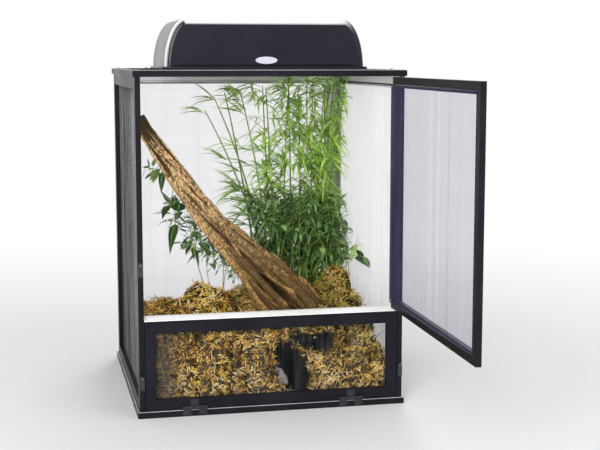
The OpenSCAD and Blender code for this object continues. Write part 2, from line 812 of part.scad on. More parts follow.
// The driftwood as a closed tube along its rows, grown by a clearance
module log_form(extra = 0) {
    n = len(log_line);
    m = log_sides;
    points = [for (i = [0:n - 1]) each ring(i, extra)];
    faces = [[for (k = [0:m - 1]) k],
             for (i = [0:n - 2], k = [0:m - 1])
                 let (a = i * m + k, b = i * m + (k + 1) % m)
                     each [[a, a + m, b + m], [a, b + m, b]],
             [for (k = [m - 1:-1:0]) (n - 1) * m + k]];
    polyhedron(points, faces, convexity = 4);
}

module driftwood() {
    color([0.55, 0.40, 0.24]) log_form();
}

// Block of bark and soil with a sloping right side and a burrow at the front
module bedding() {
    color([0.42, 0.33, 0.16]) difference() {
        translate([0, bed_back, 0]) rotate([90, 0, 0]) linear_extrude(bed_back - bed_front)
            polygon([[-bed_half, bed_z0], [bed_half, bed_z0], [bed_half, bed_z0 + bed_foot_h],
                     [bed_half - bed_slope_w, bedding_top], [-bed_half, bedding_top]]);
        log_form(log_clear);
        translate([burrow_x * in_w, bed_front - cut, burrow_z])
            rotate([-90, 0, 0]) cylinder(r = burrow_r, h = burrow_l + cut);
    }
}

// Low dome on a short foot
module mound(r, h) {
    steps = 6;
    rotate_extrude() polygon([[0, -moss_t / 2], [r, -moss_t / 2],
        for (i = [0:steps]) [r * cos(90 * i / steps), h * sin(90 * i / steps)]]);
}

module moss() {
    color([0.62, 0.47, 0.16]) difference() {
        union() {
            translate([-bed_half, bed_front, moss_z])
                cube([2 * bed_half - bed_slope_w, bed_back - bed_front, moss_t]);
            intersection() {
                for (m = mounds)
                    translate([m[0] * in_w, m[1] * in_d, moss_z + moss_t])
                        mound(m[2] * in_w, m[3] * in_w);
                translate([-bed_half, bed_front, moss_z + moss_t / 2])
                    cube([2 * bed_half - bed_slope_w, bed_back - bed_front, cage_h]);
            }
        }
        log_form(log_clear);
        for (s = canes) at_stem(s) translate([0, 0, -moss_t]) cylinder(r = cane_r + fit, h = cage_h);
        for (s = vines) at_stem(s) translate([0, 0, -moss_t]) cylinder(r = vine_r + fit, h = cage_h);
    }
}

// Stands its children on the bedding at a stem, leaning with it
module at_stem(s) {
    translate([s[0] * in_w, s[1] * in_d, moss_z]) rotate([-s[4], s[3], 0]) children();
}
function stem_l(s) = place(s)[2] - moss_z;

// Lance-shaped leaf along X from its stalk end
module leaf(l, w) {
    translate([0, 0, -blade_t / 2]) linear_extrude(blade_t)
        polygon([[0, -w * 0.12], [l * 0.2, -w * 0.4], [l * 0.45, -w / 2], [l * 0.75, -w * 0.33], [l, 0],
                 [l * 0.75, w * 0.33], [l * 0.45, w / 2], [l * 0.2, w * 0.4], [0, w * 0.12]]);
}

// A stem with leaves in a spiral, from a share of its length up to its tip
module leafy_stem(s, r, count, low, l, w, pitch, turn) {
    at_stem(s) {
        difference() {
            translate([0, 0, -r]) cylinder(r = r, h = stem_l(s) + r);
            rotate([s[4], 0, 0]) rotate([0, -s[3], 0])
                translate([-2 * r, -2 * r, -4 * r]) cube([4 * r, 4 * r, 4 * r]);
        }
        for (k = [0:count - 1])
            translate([0, 0, stem_l(s) * (low + (0.98 - low) * k / (count - 1))])
                rotate([0, 0, 137.5 * k + turn]) rotate([0, pitch, 0]) translate([r * 0.6, 0, 0])
                    leaf(l * (0.84 + 0.16 * cos(90 * k)), w);
    }
}

module bamboo_plant() {
    color([0.36, 0.56, 0.14]) for (i = [0:len(canes) - 1])
        leafy_stem(canes[i], cane_r, blades_per_cane, 0.30, blade_l, blade_w, -blade_rise, cane_turn * i);
}

module vine_plant() {
    color([0.10, 0.32, 0.12]) for (i = [0:len(vines) - 1])
        leafy_stem(vines[i], vine_r, leaves_per_vine, 0.34, vine_leaf_l, vine_leaf_w, leaf_drop,
                   vine_turn * i);
}

// ---------------------------------------------------------------- the assembly

base_rails();
base_panel();
left_bar(0);  // left_bottom_rail
left_bar(1);  // left_front_stile
left_bar(2);  // left_top_rail
left_bar(3);  // left_rear_stile
right_bar(0);  // right_bottom_rail
right_bar(1);  // right_rear_stile
right_bar(2);  // right_top_rail
right_bar(3);  // right_front_stile
back_bar(0);  // back_bottom_rail
back_bar(1);  // back_left_stile
back_bar(2);  // back_top_rail
back_bar(3);  // back_right_stile
top_bar(0);  // top_front_rail
top_bar(1);  // top_right_rail
top_bar(2);  // top_rear_rail
top_bar(3);  // top_left_rail
wall_screens();
color([0.12, 0.12, 0.13]) at_top() panel_screen(top_w, top_d);  // top_screen
cage_splines();
cage_corner_keys();
front_crossbar();
sill_strip();
front_bottom_rail();
frame_screws();
fixed_hinge_leaves();
upper_bar(0);  // upper_door_bottom_rail
upper_bar(1);  // upper_door_hinge_stile
upper_bar(2);  // upper_door_top_rail
upper_bar(3);  // upper_door_latch_stile
color([0.12, 0.12, 0.13]) at_upper_door() panel_screen(door_w, upper_h, door_bar_w);  // upper_door_screen
color([0.04, 0.04, 0.04]) at_upper_door() panel_spline(door_w, upper_h, door_bar_w);  // upper_door_spline
color([0.2, 0.2, 0.2]) at_upper_door() panel_keys(door_w, upper_h, door_bar_w);  // upper_door_corner_keys
upper_door_hinge_leaves();
lower_bar(0);  // lower_door_bottom_rail
lower_bar(1);  // lower_door_right_stile
lower_bar(2);  // lower_door_top_rail
lower_bar(3);  // lower_door_left_stile
color([0.12, 0.12, 0.13]) at_lower_door() panel_screen(door_w, lower_h, door_bar_w);  // lower_door_screen
color([0.04, 0.04, 0.04]) at_lower_door() panel_spline(door_w, lower_h, door_bar_w);  // lower_door_spline
color([0.2, 0.2, 0.2]) at_lower_door() panel_keys(door_w, lower_h, door_bar_w);  // lower_door_corner_keys
lower_door_hinge_leaves();
turn_latch(-latch_x, upper_latch_z);  // upper_latch
turn_latch(-latch_x, lower_latch_z);  // lower_latch_left
turn_latch(latch_x, lower_latch_z);  // lower_latch_right
hood_front();
hood_back();
hood_wrap();
hood_badge();
hood_reflector();
lamp_holders();
lamps();
cord_gland();
rocker_switch();
bedding();
moss();
driftwood();
bamboo_plant();
vine_plant();
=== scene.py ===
"""Dresses a planted screen cage: woven cloths, spline cords, lamp hood, planting and a plain studio."""

import math
from collections import namedtuple

import bpy
import numpy as np
from bpy.props import FloatProperty, FloatVectorProperty, IntProperty, PointerProperty
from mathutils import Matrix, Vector


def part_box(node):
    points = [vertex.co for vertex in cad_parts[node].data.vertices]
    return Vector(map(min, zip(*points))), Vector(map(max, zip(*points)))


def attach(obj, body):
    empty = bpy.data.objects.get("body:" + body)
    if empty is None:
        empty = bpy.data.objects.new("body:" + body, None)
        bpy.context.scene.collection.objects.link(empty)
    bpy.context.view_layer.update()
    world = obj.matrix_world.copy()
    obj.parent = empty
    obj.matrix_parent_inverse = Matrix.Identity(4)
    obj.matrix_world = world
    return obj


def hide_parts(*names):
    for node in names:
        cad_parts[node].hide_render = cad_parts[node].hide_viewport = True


bl_info = {
    "name": "Planted screen cage",
    "version": (1, 0, 0),
    "blender": (4, 5, 0),
    "location": "3D View > Sidebar > Cage",
    "description": "Makes the cloths, cords, hood, planting and studio of a planted screen cage",
    "category": "Add Mesh",
}

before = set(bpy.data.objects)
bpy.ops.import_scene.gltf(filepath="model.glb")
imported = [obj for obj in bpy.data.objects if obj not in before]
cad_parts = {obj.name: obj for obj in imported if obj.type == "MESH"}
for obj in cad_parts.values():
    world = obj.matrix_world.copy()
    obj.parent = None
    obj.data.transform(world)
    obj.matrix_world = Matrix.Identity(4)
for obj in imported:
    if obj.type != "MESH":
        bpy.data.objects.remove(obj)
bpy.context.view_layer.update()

MM = 0.001
TAU = 2 * math.pi
GOLDEN = math.radians(137.5)
CAGE_TOP, BASE_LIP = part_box("top_front_rail")[1][2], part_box("base_rails")[1][2]
# How far out from the cage's middle the bars' pale inner faces reach: painted light that stands in for
# the cage's bright inside
INNER_LIGHT_REACH = 0.1925
# From where to where the lips of the top and base trims carry a painted highlight, out from the cage's
# middle
LIP_START, LIP_END = 0.2006, 0.2018
# Half size of the top cloth's frame
TOP_PANEL_HALF = 0.2
# The bed's dark front left corner: where its shadow begins and is full, to the right and to the back
CORNER_RIGHT, CORNER_BACK = (-0.130, -0.160), (-0.15, -0.18)
# The bark's dark cave: where its shadow begins and is full, behind the front, before the back and
# out from the middle
CAVE_FRONT, CAVE_BACK, CAVE_SIDE = (-0.180, -0.160), (-0.06, -0.09), (0.12, 0.10)


def box(*nodes):
    """Lowest and highest corner of one or more solids, as arrays."""
    boxes = np.array([[list(corner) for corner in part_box(node)] for node in nodes])
    return boxes[:, 0].min(axis=0), boxes[:, 1].max(axis=0)


# ------------------------------------------------------------------ sizes and colours


def length(name, text, value):
    return FloatProperty(
        name=name, description=text, default=value, min=0.0, unit="LENGTH", precision=5
    )


def count(name, text, value):
    return IntProperty(name=name, description=text, default=value, min=1)


def colour(name, text, value):
    return FloatVectorProperty(
        name=name, description=text, default=value, subtype="COLOR", size=3, min=0.0, max=1.0
    )


class CageSizes(bpy.types.PropertyGroup):
    """Sizes of the pieces that are made round the solids."""

    edge_round: length("Edge rounding", "Radius of the softened edges on bars and trims", 0.45 * MM)
    wire_pitch: length("Wire pitch", "Distance from one wire of the cloth to the next", 1.6 * MM)
    wire_width: length("Wire width", "Diameter of the cloth's wires", 0.17 * MM)
    bar_width: length("Bar width", "Face width of the cage's bars", 19 * MM)
    door_bar_width: length("Door bar width", "Face width of the doors' bars", 16 * MM)
    groove_centre: length("Groove centre", "Spline groove's middle, from a bar's inner edge", 3.8 * MM)
    cord_radius: length("Cord radius", "Radius of the spline cord", 1.6 * MM)
    hood_edge: length("Hood edge", "Rounding of the hood's long edges", 9 * MM)
    hood_shoulder: length("Hood shoulder", "Run of the hood's curved shoulders", 33 * MM)
    hood_sheet: length("Hood sheet", "Thickness of the hood's sheet", 1.2 * MM)
    strands: count("Strands", "Number of loose pieces in each of the beds' four sets", 11000)
    bamboo_leaf: length("Bamboo leaf", "Length of a bamboo leaf", 44 * MM)
    broad_leaf: length("Broad leaf", "Length of a broad leaf", 26 * MM)


class CageColours(bpy.types.PropertyGroup):
    """Colours of the finishes."""

    bar: colour("Bars", "Black bars", (0.009, 0.0085, 0.0125))
    # The bright edge colour is a painted highlight on the trims' lips and along the hood's front edge
    edge: colour("Bright edge", "Polished edges of the trims and hood", (0.92, 1.0, 0.97))
    # The lacquer colour is painted light: the pale faces of the bars towards the cage stand in for the
    # cage's bright inside
    painted_inner_light: colour("Lacquer", "Pale face of the bars towards the cage", (0.95, 0.95, 0.98))
    wire: colour("Wire", "Woven wire, as seen from outside", (0.018, 0.016, 0.024))
    # The white, lavender and back wire colours are painted light on the wires' inner halves, standing
    # in for the lit inside of the cage
    white_wire: colour("White wire", "Inside of the side and lower door's cloths", (1.0, 1.0, 1.0))
    lavender_wire: colour("Lavender wire", "Inside of the upper door's cloth", (0.09, 0.09, 0.19))
    back_wire: colour("Back wire", "Inside of the back and top cloths", (0.42, 0.40, 0.56))
    sill: colour("Sill", "Strip on the crossbar", (0.97, 0.96, 0.95))
    hood: colour("Hood", "Hood's enamel", (0.008, 0.008, 0.015))
    badge: colour("Plate", "Plain plate on the hood", (0.60, 0.60, 0.70))
    bark: colour("Bark", "Bark and soil", (0.16, 0.09, 0.03))
    moss: colour("Moss", "Golden moss", (0.60, 0.36, 0.07))
    olive: colour("Olive", "Dark olive moss", (0.11, 0.11, 0.02))
    wood: colour("Wood", "Driftwood's ridges", (0.39, 0.24, 0.09))
    # The dark grain is partly painted shade in the grooves
    wood_dark: colour("Dark grain", "Driftwood's grooves", (0.05, 0.03, 0.012))
    # Bright and shaded bamboo are lit and shaded greens of one leaf, given out partly by height:
    # painted light and shade
    bamboo: colour("Bamboo", "Bright bamboo leaves", (0.52, 0.78, 0.15))
    bamboo_dark: colour("Shaded bamboo", "Dark bamboo leaves", (0.11, 0.27, 0.045))
    vine: colour("Vine", "Broad dark leaves", (0.028, 0.095, 0.028))


def sizes():
    """The scene's sizes."""
    return bpy.context.scene.cage_sizes


def colours():
    """The scene's colours."""
    return bpy.context.scene.cage_colours


# ------------------------------------------------------------------ finishes


class Value:
    """What a node gives. Sums, products and comparisons of values add Math nodes."""

    def __init__(self, nodes, socket):
        self.nodes, self.socket = nodes, socket

    def math(self, operation, *terms):
        return self.nodes.node("ShaderNodeMath", {"operation": operation}, terms)

    def part(self, name):
        """Another output of the same node."""
        return Value(self.nodes, self.socket.node.outputs[name])

    def size(self):
        return self.math("ABSOLUTE", self)

    def __add__(self, other):
        return self.math("ADD", self, other)

    __radd__ = __add__

    def __mul__(self, other):
        return self.math("MULTIPLY", self, other)

    __rmul__ = __mul__

    def __gt__(self, other):
        return self.math("GREATER_THAN", self, other)

    def __lt__(self, other):
        return self.math("LESS_THAN", self, other)


class Nodes:
    """A tree of shader nodes being made."""

    def __init__(self, owner):
        owner.use_nodes = True
        self.tree = owner.node_tree

    def feed(self, socket, value):
        """Links a value to the socket, or sets a constant on it."""
        if isinstance(value, Value):
            self.tree.links.new(value.socket, socket)
        elif socket.type == "RGBA" and len(value) == 3:
            socket.default_value = (*value, 1.0)
        else:
            socket.default_value = value

    def node(self, kind, settings=None, inputs=(), output=0):
        """Adds a node: first its settings, a ramp's stops among them, then its sockets."""
        made = self.tree.nodes.new(kind)
        for key, value in (settings or {}).items():
            if key == "stops":
                self.set_stops(made.color_ramp.elements, value)
            else:
                setattr(made, key, value)
        for key, value in inputs.items() if isinstance(inputs, dict) else enumerate(inputs):
            self.feed(made.inputs[key], value)
        return Value(self, made.outputs[output])

    @staticmethod
    def set_stops(elements, stops):
        while len(elements) > 1:
            elements.remove(elements[-1])
        elements[0].position, elements[0].color = stops[0][0], (*stops[0][1], 1.0)
        for place, shade in stops[1:]:
            elements.new(place).color = (*shade, 1.0)

    def limits(self, value, low, high, to_low=0.0, to_high=1.0):
        """value, taken from low...high to to_low...to_high and clamped there."""
        return self.node("ShaderNodeMapRange", {"clamp": True}, (value, low, high, to_low, to_high))


class Finish(Nodes):
    """A material being made, on a Principled shader."""

    def __init__(self, name):
        self.material = bpy.data.materials.new(name)
        super().__init__(self.material)
        self.shader = self.tree.nodes["Principled BSDF"]
        self.place = self.node("ShaderNodeTexCoord", output="Object")

    def noise(self, size, detail=3.0, roughness=0.55, stretch=(1, 1, 1)):
        """Soft noise with features about size metres across, stretch times as many along an axis."""
        scale = [share / size for share in stretch]
        place = self.node("ShaderNodeMapping", {}, {"Vector": self.place, "Scale": scale})
        inputs = {"Vector": place, "Scale": 1.0, "Detail": detail, "Roughness": roughness}
        return self.node("ShaderNodeTexNoise", {}, inputs)

    def axes(self):
        """The place's coordinates, as parts X, Y and Z."""
        return self.node("ShaderNodeSeparateXYZ", {}, [self.place])

    def attribute(self, name):
        """The number that a piece carries at each vertex under this name."""
        return self.node("ShaderNodeAttribute", {"attribute_name": name}, output="Fac")

    def ramp(self, share, *stops):
        """The colour at the share between the stops, each a place and a colour."""
        return self.node("ShaderNodeValToRGB", {"stops": stops}, {"Fac": share})

    def mix(self, share, first, second, blend="MIX"):
        """The first colour, with the second blended over it by the share."""
        settings = {"data_type": "RGBA", "blend_type": blend}
        return self.node("ShaderNodeMix", settings, {0: share, 6: first, 7: second}, output=2)

    def corner(self, shade, strength, shadow):
        """shade, darkened towards shadow in the bed's front left corner."""
        axes = self.axes()
        back = self.limits(axes.part("Y"), *CORNER_BACK)
        return self.mix(self.limits(axes.part("X"), *CORNER_RIGHT, 0.0, strength) * back, shade, shadow)

    def bump(self, height, distance, strength=1.0):
        """A normal that shows the height as relief, distance deep."""
        inputs = {"Height": height, "Distance": distance, "Strength": strength}
        return self.node("ShaderNodeBump", {}, inputs, output="Normal")

    def done(self, **sockets):
        """Sets the shader's sockets, underscores standing for spaces, and returns the material."""
        for key, value in sockets.items():
            self.feed(self.shader.inputs[key.replace("_", " ")], value)
        return self.material


def black_bar(name, base, drawn=None, facing=None, lip_z=None):
    """Satin black bar with faint drawing lines along the drawn axis, dust specks and soft wear. A bar
    that faces along an axis is painted pale on its side towards the cage, painted light that stands
    in for the cage's bright inside, and a trim carries a painted highlight on its lip from lip_z up."""
    finish = Finish(name)
    broad = finish.noise(60 * MM, 3.0)
    stretch = [1.0 if axis != drawn else 0.02 for axis in range(3)]
    lines = finish.noise(0.5 * MM, 2.0, stretch=stretch)
    specks = finish.noise(1.2 * MM, 1.0)
    shade = finish.mix(finish.limits(broad, 0.3, 0.7, 0.0, 0.6), base, [c * 1.6 + 0.003 for c in base])
    shade = finish.mix(finish.limits(specks, 0.7, 0.8, 0.0, 0.2), shade, (0.12, 0.115, 0.13))
    if facing is not None:
        # Painted light: the bar's faces towards the cage are painted pale
        inner = finish.axes().part("XY"[facing]).size() < INNER_LIGHT_REACH
        shade = finish.mix(inner, shade, list(colours().painted_inner_light))
    # Painted highlight along a trim's lip
    if lip_z is not None:
        axes = finish.axes()
        out = axes.math("MAXIMUM", axes.part("X").size(), axes.part("Y").size())
        lip = finish.limits(out, LIP_START, LIP_END)
        lip = lip * finish.limits(axes.part("Z"), lip_z - 0.8 * MM, lip_z)
        shade = finish.mix(lip * finish.limits(broad, 0.3, 0.6, 0.55, 1.0), shade, list(colours().edge))
    rough = finish.limits(broad, 0.25, 0.75, 0.26, 0.4) + lines * 0.06
    normal = finish.bump(lines, 0.03 * MM, 0.25)
    return finish.done(Base_Color=shade, Roughness=rough, Normal=normal, Specular_IOR_Level=0.09)


def moulded(name, base, grain=0.5 * MM, rough=0.45, level=0.5):
    """Moulded plastic or rubber with a fine spark texture and a slightly uneven sheen."""
    finish = Finish(name)
    broad = finish.noise(25 * MM, 3.0)
    fine = finish.noise(grain, 2.0)
    shade = finish.mix(finish.limits(broad, 0.3, 0.7, 0.0, 0.5), base, [c * 1.5 + 0.006 for c in base])
    normal = finish.bump(fine, 0.05 * MM, 0.35)
    roughness = finish.limits(fine, 0.2, 0.8, rough - 0.06, rough + 0.08)
    return finish.done(Base_Color=shade, Roughness=roughness, Normal=normal, Specular_IOR_Level=level)


def bright_metal(name, base, drawn=0, rough=0.25):
    """Bare metal, brushed along one axis, with dull patches."""
    finish = Finish(name)
    stretch = [1.0 if axis != drawn else 0.02 for axis in range(3)]
    lines = finish.noise(0.4 * MM, 2.0, stretch=stretch)
    patches = finish.noise(18 * MM, 4.0)
    shade = finish.mix(finish.limits(patches, 0.35, 0.75, 0.0, 0.4), base, [c * 0.72 for c in base])
    roughness = finish.limits(patches, 0.3, 0.7, rough, rough + 0.18) + lines * 0.08
    normal = finish.bump(lines, 0.03 * MM, 0.3)
    return finish.done(Base_Color=shade, Roughness=roughness, Normal=normal, Metallic=1.0)


def wire_finish(name, inner):
    """Woven wire, dark outside and the inner colour, painted light that stands in for the lit inside,
    on the half that faces into the cage, in faintly lighter and darker runs along the panel's height."""
    finish = Finish(name)
    inside = finish.attribute("inside") > 0.5
    runs = finish.noise(12 * MM, 3.0, 0.6, stretch=(1.0, 1.0, 0.07))
    shade = finish.mix(inside, list(colours().wire), inner)
    shade = finish.mix(finish.limits(runs, 0.42, 0.6, 0.4, 0.0), shade, [c * 0.4 for c in inner])
    return finish.done(Base_Color=shade, Roughness=0.6, Specular_IOR_Level=0.06)


def enamel(name, base):
    """Powder coat: a shallow orange peel under a clear coat, a little dust on the flats, and a painted
    highlight where the edge attribute is."""
    finish = Finish(name)
    peel = finish.noise(1.1 * MM, 1.5)
    broad = finish.noise(90 * MM, 2.0)
    dust = finish.noise(0.7 * MM, 1.0)
    # The edge attribute marks a painted highlight
    edge = finish.attribute("edge")
    shade = finish.mix(finish.limits(broad, 0.3, 0.7, 0.0, 0.6), base, [c * 1.5 + 0.003 for c in base])
    shade = finish.mix(finish.limits(dust, 0.72, 0.84, 0.0, 0.15), shade, (0.2, 0.2, 0.24))
    shade = finish.mix(edge * finish.limits(broad, 0.25, 0.6, 0.8, 1.0), shade, list(colours().edge))
    normal = finish.bump(peel, 0.05 * MM, 0.25)
    roughness = finish.limits(broad, 0.3, 0.7, 0.3, 0.4)
    return finish.done(
        Base_Color=shade, Roughness=roughness, Normal=normal, Specular_IOR_Level=0.08,
        Coat_Weight=0.5, Coat_Roughness=0.14, Coat_IOR=1.34,
    )


def litter(name, warm, brown, olive, cave=False):
    """Matted fibres: golden, brown and olive blotches with a painted highlight on the brightest,
    painted shade near black in the gaps between them and, on the bark, painted shadow in its front left
    corner and inside its cave."""
    finish = Finish(name)
    clumps = finish.noise(12 * MM, 3.0, 0.6)
    damp_and_gap_shade = finish.noise(7 * MM, 4.0, 0.65)
    fibres = finish.noise(1.6 * MM, 3.0, 0.7)
    # Painted light and shade: the paler warm stop is a painted highlight, and the near black gap colour
    # is painted shade in the gaps
    painted_lit_warm, gap_shade = [min(1, c * 1.35) for c in warm], [c * 0.1 for c in brown]
    shade = finish.ramp(clumps, (0.36, olive), (0.46, brown), (0.54, warm), (0.64, painted_lit_warm))
    shade = finish.mix(finish.limits(damp_and_gap_shade, 0.42, 0.54, 0.0, 0.95), shade, gap_shade)
    shade = finish.mix(finish.limits(fibres, 0.34, 0.6, 0.85, 0.0), shade, gap_shade)
    if cave:
        # Painted shadow in the bed's front left corner and inside the cave
        shade = finish.corner(shade, 0.7, (0.03, 0.024, 0.016))
        axes = finish.axes()
        back = axes.part("Y")
        depth = finish.limits(back, *CAVE_FRONT) * finish.limits(back, *CAVE_BACK)
        depth = depth * finish.limits(axes.part("X").size(), *CAVE_SIDE)
        shade = finish.mix(depth, shade, (0.006, 0.014, 0.008))
    normal = finish.bump(fibres + damp_and_gap_shade, 1.6 * MM, 0.9)
    return finish.done(Base_Color=shade, Roughness=0.9, Normal=normal, Specular_IOR_Level=0.1)


def strand_finish(name, stops, lighter=0.35, drift=None):
    """Strands and stems: a hue for each from its tint, darker at its foot. On the beds, where drift is
    given, the hue drifts in broad patches towards that colour and towards olive; it is paler low down,
    greener high on the right, and darkened by painted shadow in the front left corner."""
    finish = Finish(name)
    tint, along = finish.attribute("tint"), finish.attribute("along")
    shade = finish.ramp(tint, *stops)
    foot = [c * 0.25 for c in stops[0][1]]
    shade = finish.mix(finish.limits(along, 0.0, 0.35, 0.5, 0.0), shade, foot)
    mottle = finish.noise(3 * MM, 3.0)
    bright = [min(1.0, c * 1.5 + 0.05) for c in stops[-1][1]]
    shade = finish.mix(finish.limits(mottle, 0.5, 0.8, 0.0, lighter), shade, bright)
    if drift is not None:
        broad = finish.noise(38 * MM, 2.0)
        right, up = (finish.axes().part(axis) for axis in "XZ")
        olive = finish.limits(broad, 0.46, 0.36, 0.0, 0.5)
        shade = finish.mix(finish.limits(broad, 0.52, 0.6, 0.0, 0.7), shade, drift, "OVERLAY")
        shade = finish.mix(olive, shade, (0.50, 0.50, 0.12), "OVERLAY")
        shade = finish.mix(finish.limits(up, 0.05, 0.02, 0.0, 0.5), shade, (0.62, 0.52, 0.36))
        damp_and_gap_shade = finish.limits(right, 0.05, 0.10, 0.0, 0.6) * finish.limits(up, 0.05, 0.085)
        shade = finish.mix(damp_and_gap_shade * finish.limits(mottle, 0.3, 0.5, 1.0, 0.55), shade, (0.17, 0.19, 0.04))
        # Painted shadow in the bed's front left corner
        shade = finish.corner(shade, 0.85, (0.07, 0.055, 0.035))
    return finish.done(Base_Color=shade, Roughness=0.75, Specular_IOR_Level=0.25)


def leaf_finish(name, dark, light, tip, gloss):
    """Leaf: hue from its tint, paler along the midrib, veins across it, yellowed towards its tip."""
    finish = Finish(name)
    tint, along, side = (finish.attribute(key) for key in ("tint", "along", "side"))
    shade = finish.mix(tint, dark, light)
    patches = finish.noise(14 * MM, 3.0)
    shade = finish.mix(finish.limits(patches, 0.45, 0.75, 0.0, 0.35), shade, [c * 0.5 for c in dark])
    shade = finish.mix(finish.limits(along, 0.75, 1.0, 0.0, 0.6), shade, tip)
    midrib = [min(1, c * 1.7 + 0.03) for c in light]
    shade = finish.mix(finish.limits(side, 0.0, 0.16, 0.55, 0.0), shade, midrib)
    ripple = along * 60.0
    veins = ripple.math("SINE", ripple)
    normal = finish.bump(veins, 0.15 * MM, 0.4)
    roughness = finish.limits(patches, 0.3, 0.7, gloss, gloss + 0.15)
    return finish.done(Base_Color=shade, Roughness=roughness, Normal=normal)


# ------------------------------------------------------------------ mesh helpers


def dress(material, *nodes):
    """Gives solids that keep their own shape a finish."""
    for node in nodes:
        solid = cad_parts[node]
        for place in solid.material_slots:
            place.material = material
        if not solid.material_slots:
            solid.data.materials.append(material)


def soften(radius, *nodes):
    """Rounds the solids' sharp edges by a modifier."""
    for node in nodes:
        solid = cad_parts[node]
        weld = solid.modifiers.new("weld", "WELD")
        weld.merge_threshold = 0.01 * MM
        bevel = solid.modifiers.new("edges", "BEVEL")
        bevel.width, bevel.segments, bevel.limit_method = radius, 2, "ANGLE"
        bevel.angle_limit, bevel.harden_normals = math.radians(35), True


def make(
    name, vertices, quads, triangles, material, body, slot, stands_for=(), smooth=True, rim=None,
    **values,
):
    """A mesh piece from arrays of vertices and faces, with a number at each vertex for each value.
    An edge between two vertices of the rim is a sharp one."""
    mesh = bpy.data.meshes.new(name)
    vertices, quads = np.asarray(vertices, float).reshape(-1, 3), np.asarray(quads, int).reshape(-1, 4)
    triangles = np.asarray(triangles, int).reshape(-1, 3)
    corners = np.concatenate([quads.ravel(), triangles.ravel()])
    starts = np.concatenate([np.arange(len(quads)) * 4, quads.size + np.arange(len(triangles)) * 3])
    mesh.vertices.add(len(vertices))
    mesh.vertices.foreach_set("co", vertices.astype(np.float32).ravel())
    mesh.loops.add(len(corners))
    mesh.loops.foreach_set("vertex_index", corners.astype(np.int32))
    mesh.polygons.add(len(starts))
    mesh.polygons.foreach_set("loop_start", starts.astype(np.int32))
    mesh.polygons.foreach_set("use_smooth", np.full(len(starts), smooth))
    mesh.update(calc_edges=True)
    if mesh.validate():
        raise RuntimeError(f"{name}'s mesh had faults")
    for key, numbers in values.items():
        numbers = np.asarray(numbers, np.float32).ravel()
        mesh.attributes.new(key, "FLOAT", "POINT").data.foreach_set("value", numbers)
    if rim is not None:
        ends = np.empty(len(mesh.edges) * 2, np.int32)
        mesh.edges.foreach_get("vertices", ends)
        sharp = np.asarray(rim)[ends.reshape(-1, 2)].all(axis=1)
        mesh.attributes.new("sharp_edge", "BOOLEAN", "EDGE").data.foreach_set("value", sharp)
    mesh.materials.append(material)
    piece = bpy.data.objects.new(name, mesh)
    bpy.context.scene.collection.objects.link(piece)
    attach(piece, body)
    if stands_for:
        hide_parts(*stands_for)
    return piece


def unit(vectors):
    """The vectors divided by their lengths."""
    return vectors / np.maximum(np.linalg.norm(vectors, axis=-1, keepdims=True), 1e-12)


def tube_faces(rows, sides, number=1):
    """Faces of closed tubes whose vertices are a first point, rows rings of sides corners and a last
    point, for so many tubes in turn."""
    corner = np.arange(sides)
    after = np.roll(corner, -1)
    row = 1 + np.arange(rows - 1)[:, None] * sides
    quads = np.stack([row + corner, row + after, row + sides + after, row + sides + corner], -1)
    quads = quads.reshape(-1, 4)
    last = 1 + (rows - 1) * sides
    zero = np.zeros(sides, int)
    triangles = np.concatenate(
        [
            np.stack([zero, 1 + after, 1 + corner], -1),
            np.stack([zero + last + sides, last + corner, last + after], -1),
        ]
    )
    shift = (np.arange(number) * (rows * sides + 2))[:, None, None]
    return (quads + shift).reshape(-1, 4), (triangles + shift).reshape(-1, 3)


def tubes(centres, across, half_width, half_depth, sides, fold=0.0):
    """Closed tapering tubes, all at once: (vertices, quads, triangles).

    centres is (tubes, stations, 3). Corner k of a station stands at centre + cos(a) * half_width *
    across + sin(a) * half_depth * lift, where a is k's share of a turn and lift is forward x across.
    fold drops the middle of each ring by that share of the half width. The first and last stations
    are single points, which close the ends."""
    centres = np.asarray(centres, float)
    number, stations = centres.shape[:2]
    forward = unit(np.gradient(centres, axis=1))
    across = across if np.ndim(across) == 3 else np.asarray(across)[:, None]
    across = unit(across - (across * forward).sum(-1, keepdims=True) * forward)
    lift = np.cross(forward, across)
    angle = np.arange(sides) * TAU / sides
    half_width = half_width if np.ndim(half_width) == 3 else half_width[..., None]
    half_depth = half_depth if np.ndim(half_depth) == 3 else half_depth[..., None]
    out = (np.cos(angle) * half_width)[..., None] * across[:, :, None]
    up = (np.sin(angle) * half_depth - fold * half_width * (1 - np.abs(np.cos(angle))))[..., None]
    rings = (centres[:, :, None] + out + up * lift[:, :, None])[:, 1:-1]
    vertices = np.concatenate([centres[:, :1], rings.reshape(number, -1, 3), centres[:, -1:]], axis=1)
    return vertices.reshape(-1, 3), *tube_faces(stations - 2, sides, number)


def joined(parts):
    """Several tubes' (vertices, quads, triangles) as one."""
    starts = np.cumsum([0] + [len(part[0]) for part in parts[:-1]])
    faces = (np.concatenate([part[k] + start for part, start in zip(parts, starts)]) for k in (1, 2))
    return np.concatenate([part[0] for part in parts]), *faces


def spread(values, stations, sides):
    """A number for each vertex of tubes from (tubes, stations) numbers."""
    values = np.asarray(values, float)
    if values.ndim == 1:
        values = np.repeat(values[:, None], stations, axis=1)
    rings = np.repeat(values[:, 1:-1, None], sides, axis=2).reshape(len(values), -1)
    return np.concatenate([values[:, :1], rings, values[:, -1:]], axis=1).ravel()


def shoots(name, line, across, width, sides, tint, material, slot, stands_for=(), flat=1.0):
    """Tubes of one width along each line, flat times as deep, that carry their tint and how far along
    each place is."""
    number, stations = line.shape[:2]
    along = np.broadcast_to(np.linspace(0, 1, stations), (number, stations))
    return make(
        name, *tubes(line, across, width, width * flat, sides), material, "root", slot, stands_for,
        tint=spread(tint, stations, sides), along=spread(along, stations, sides),
    )


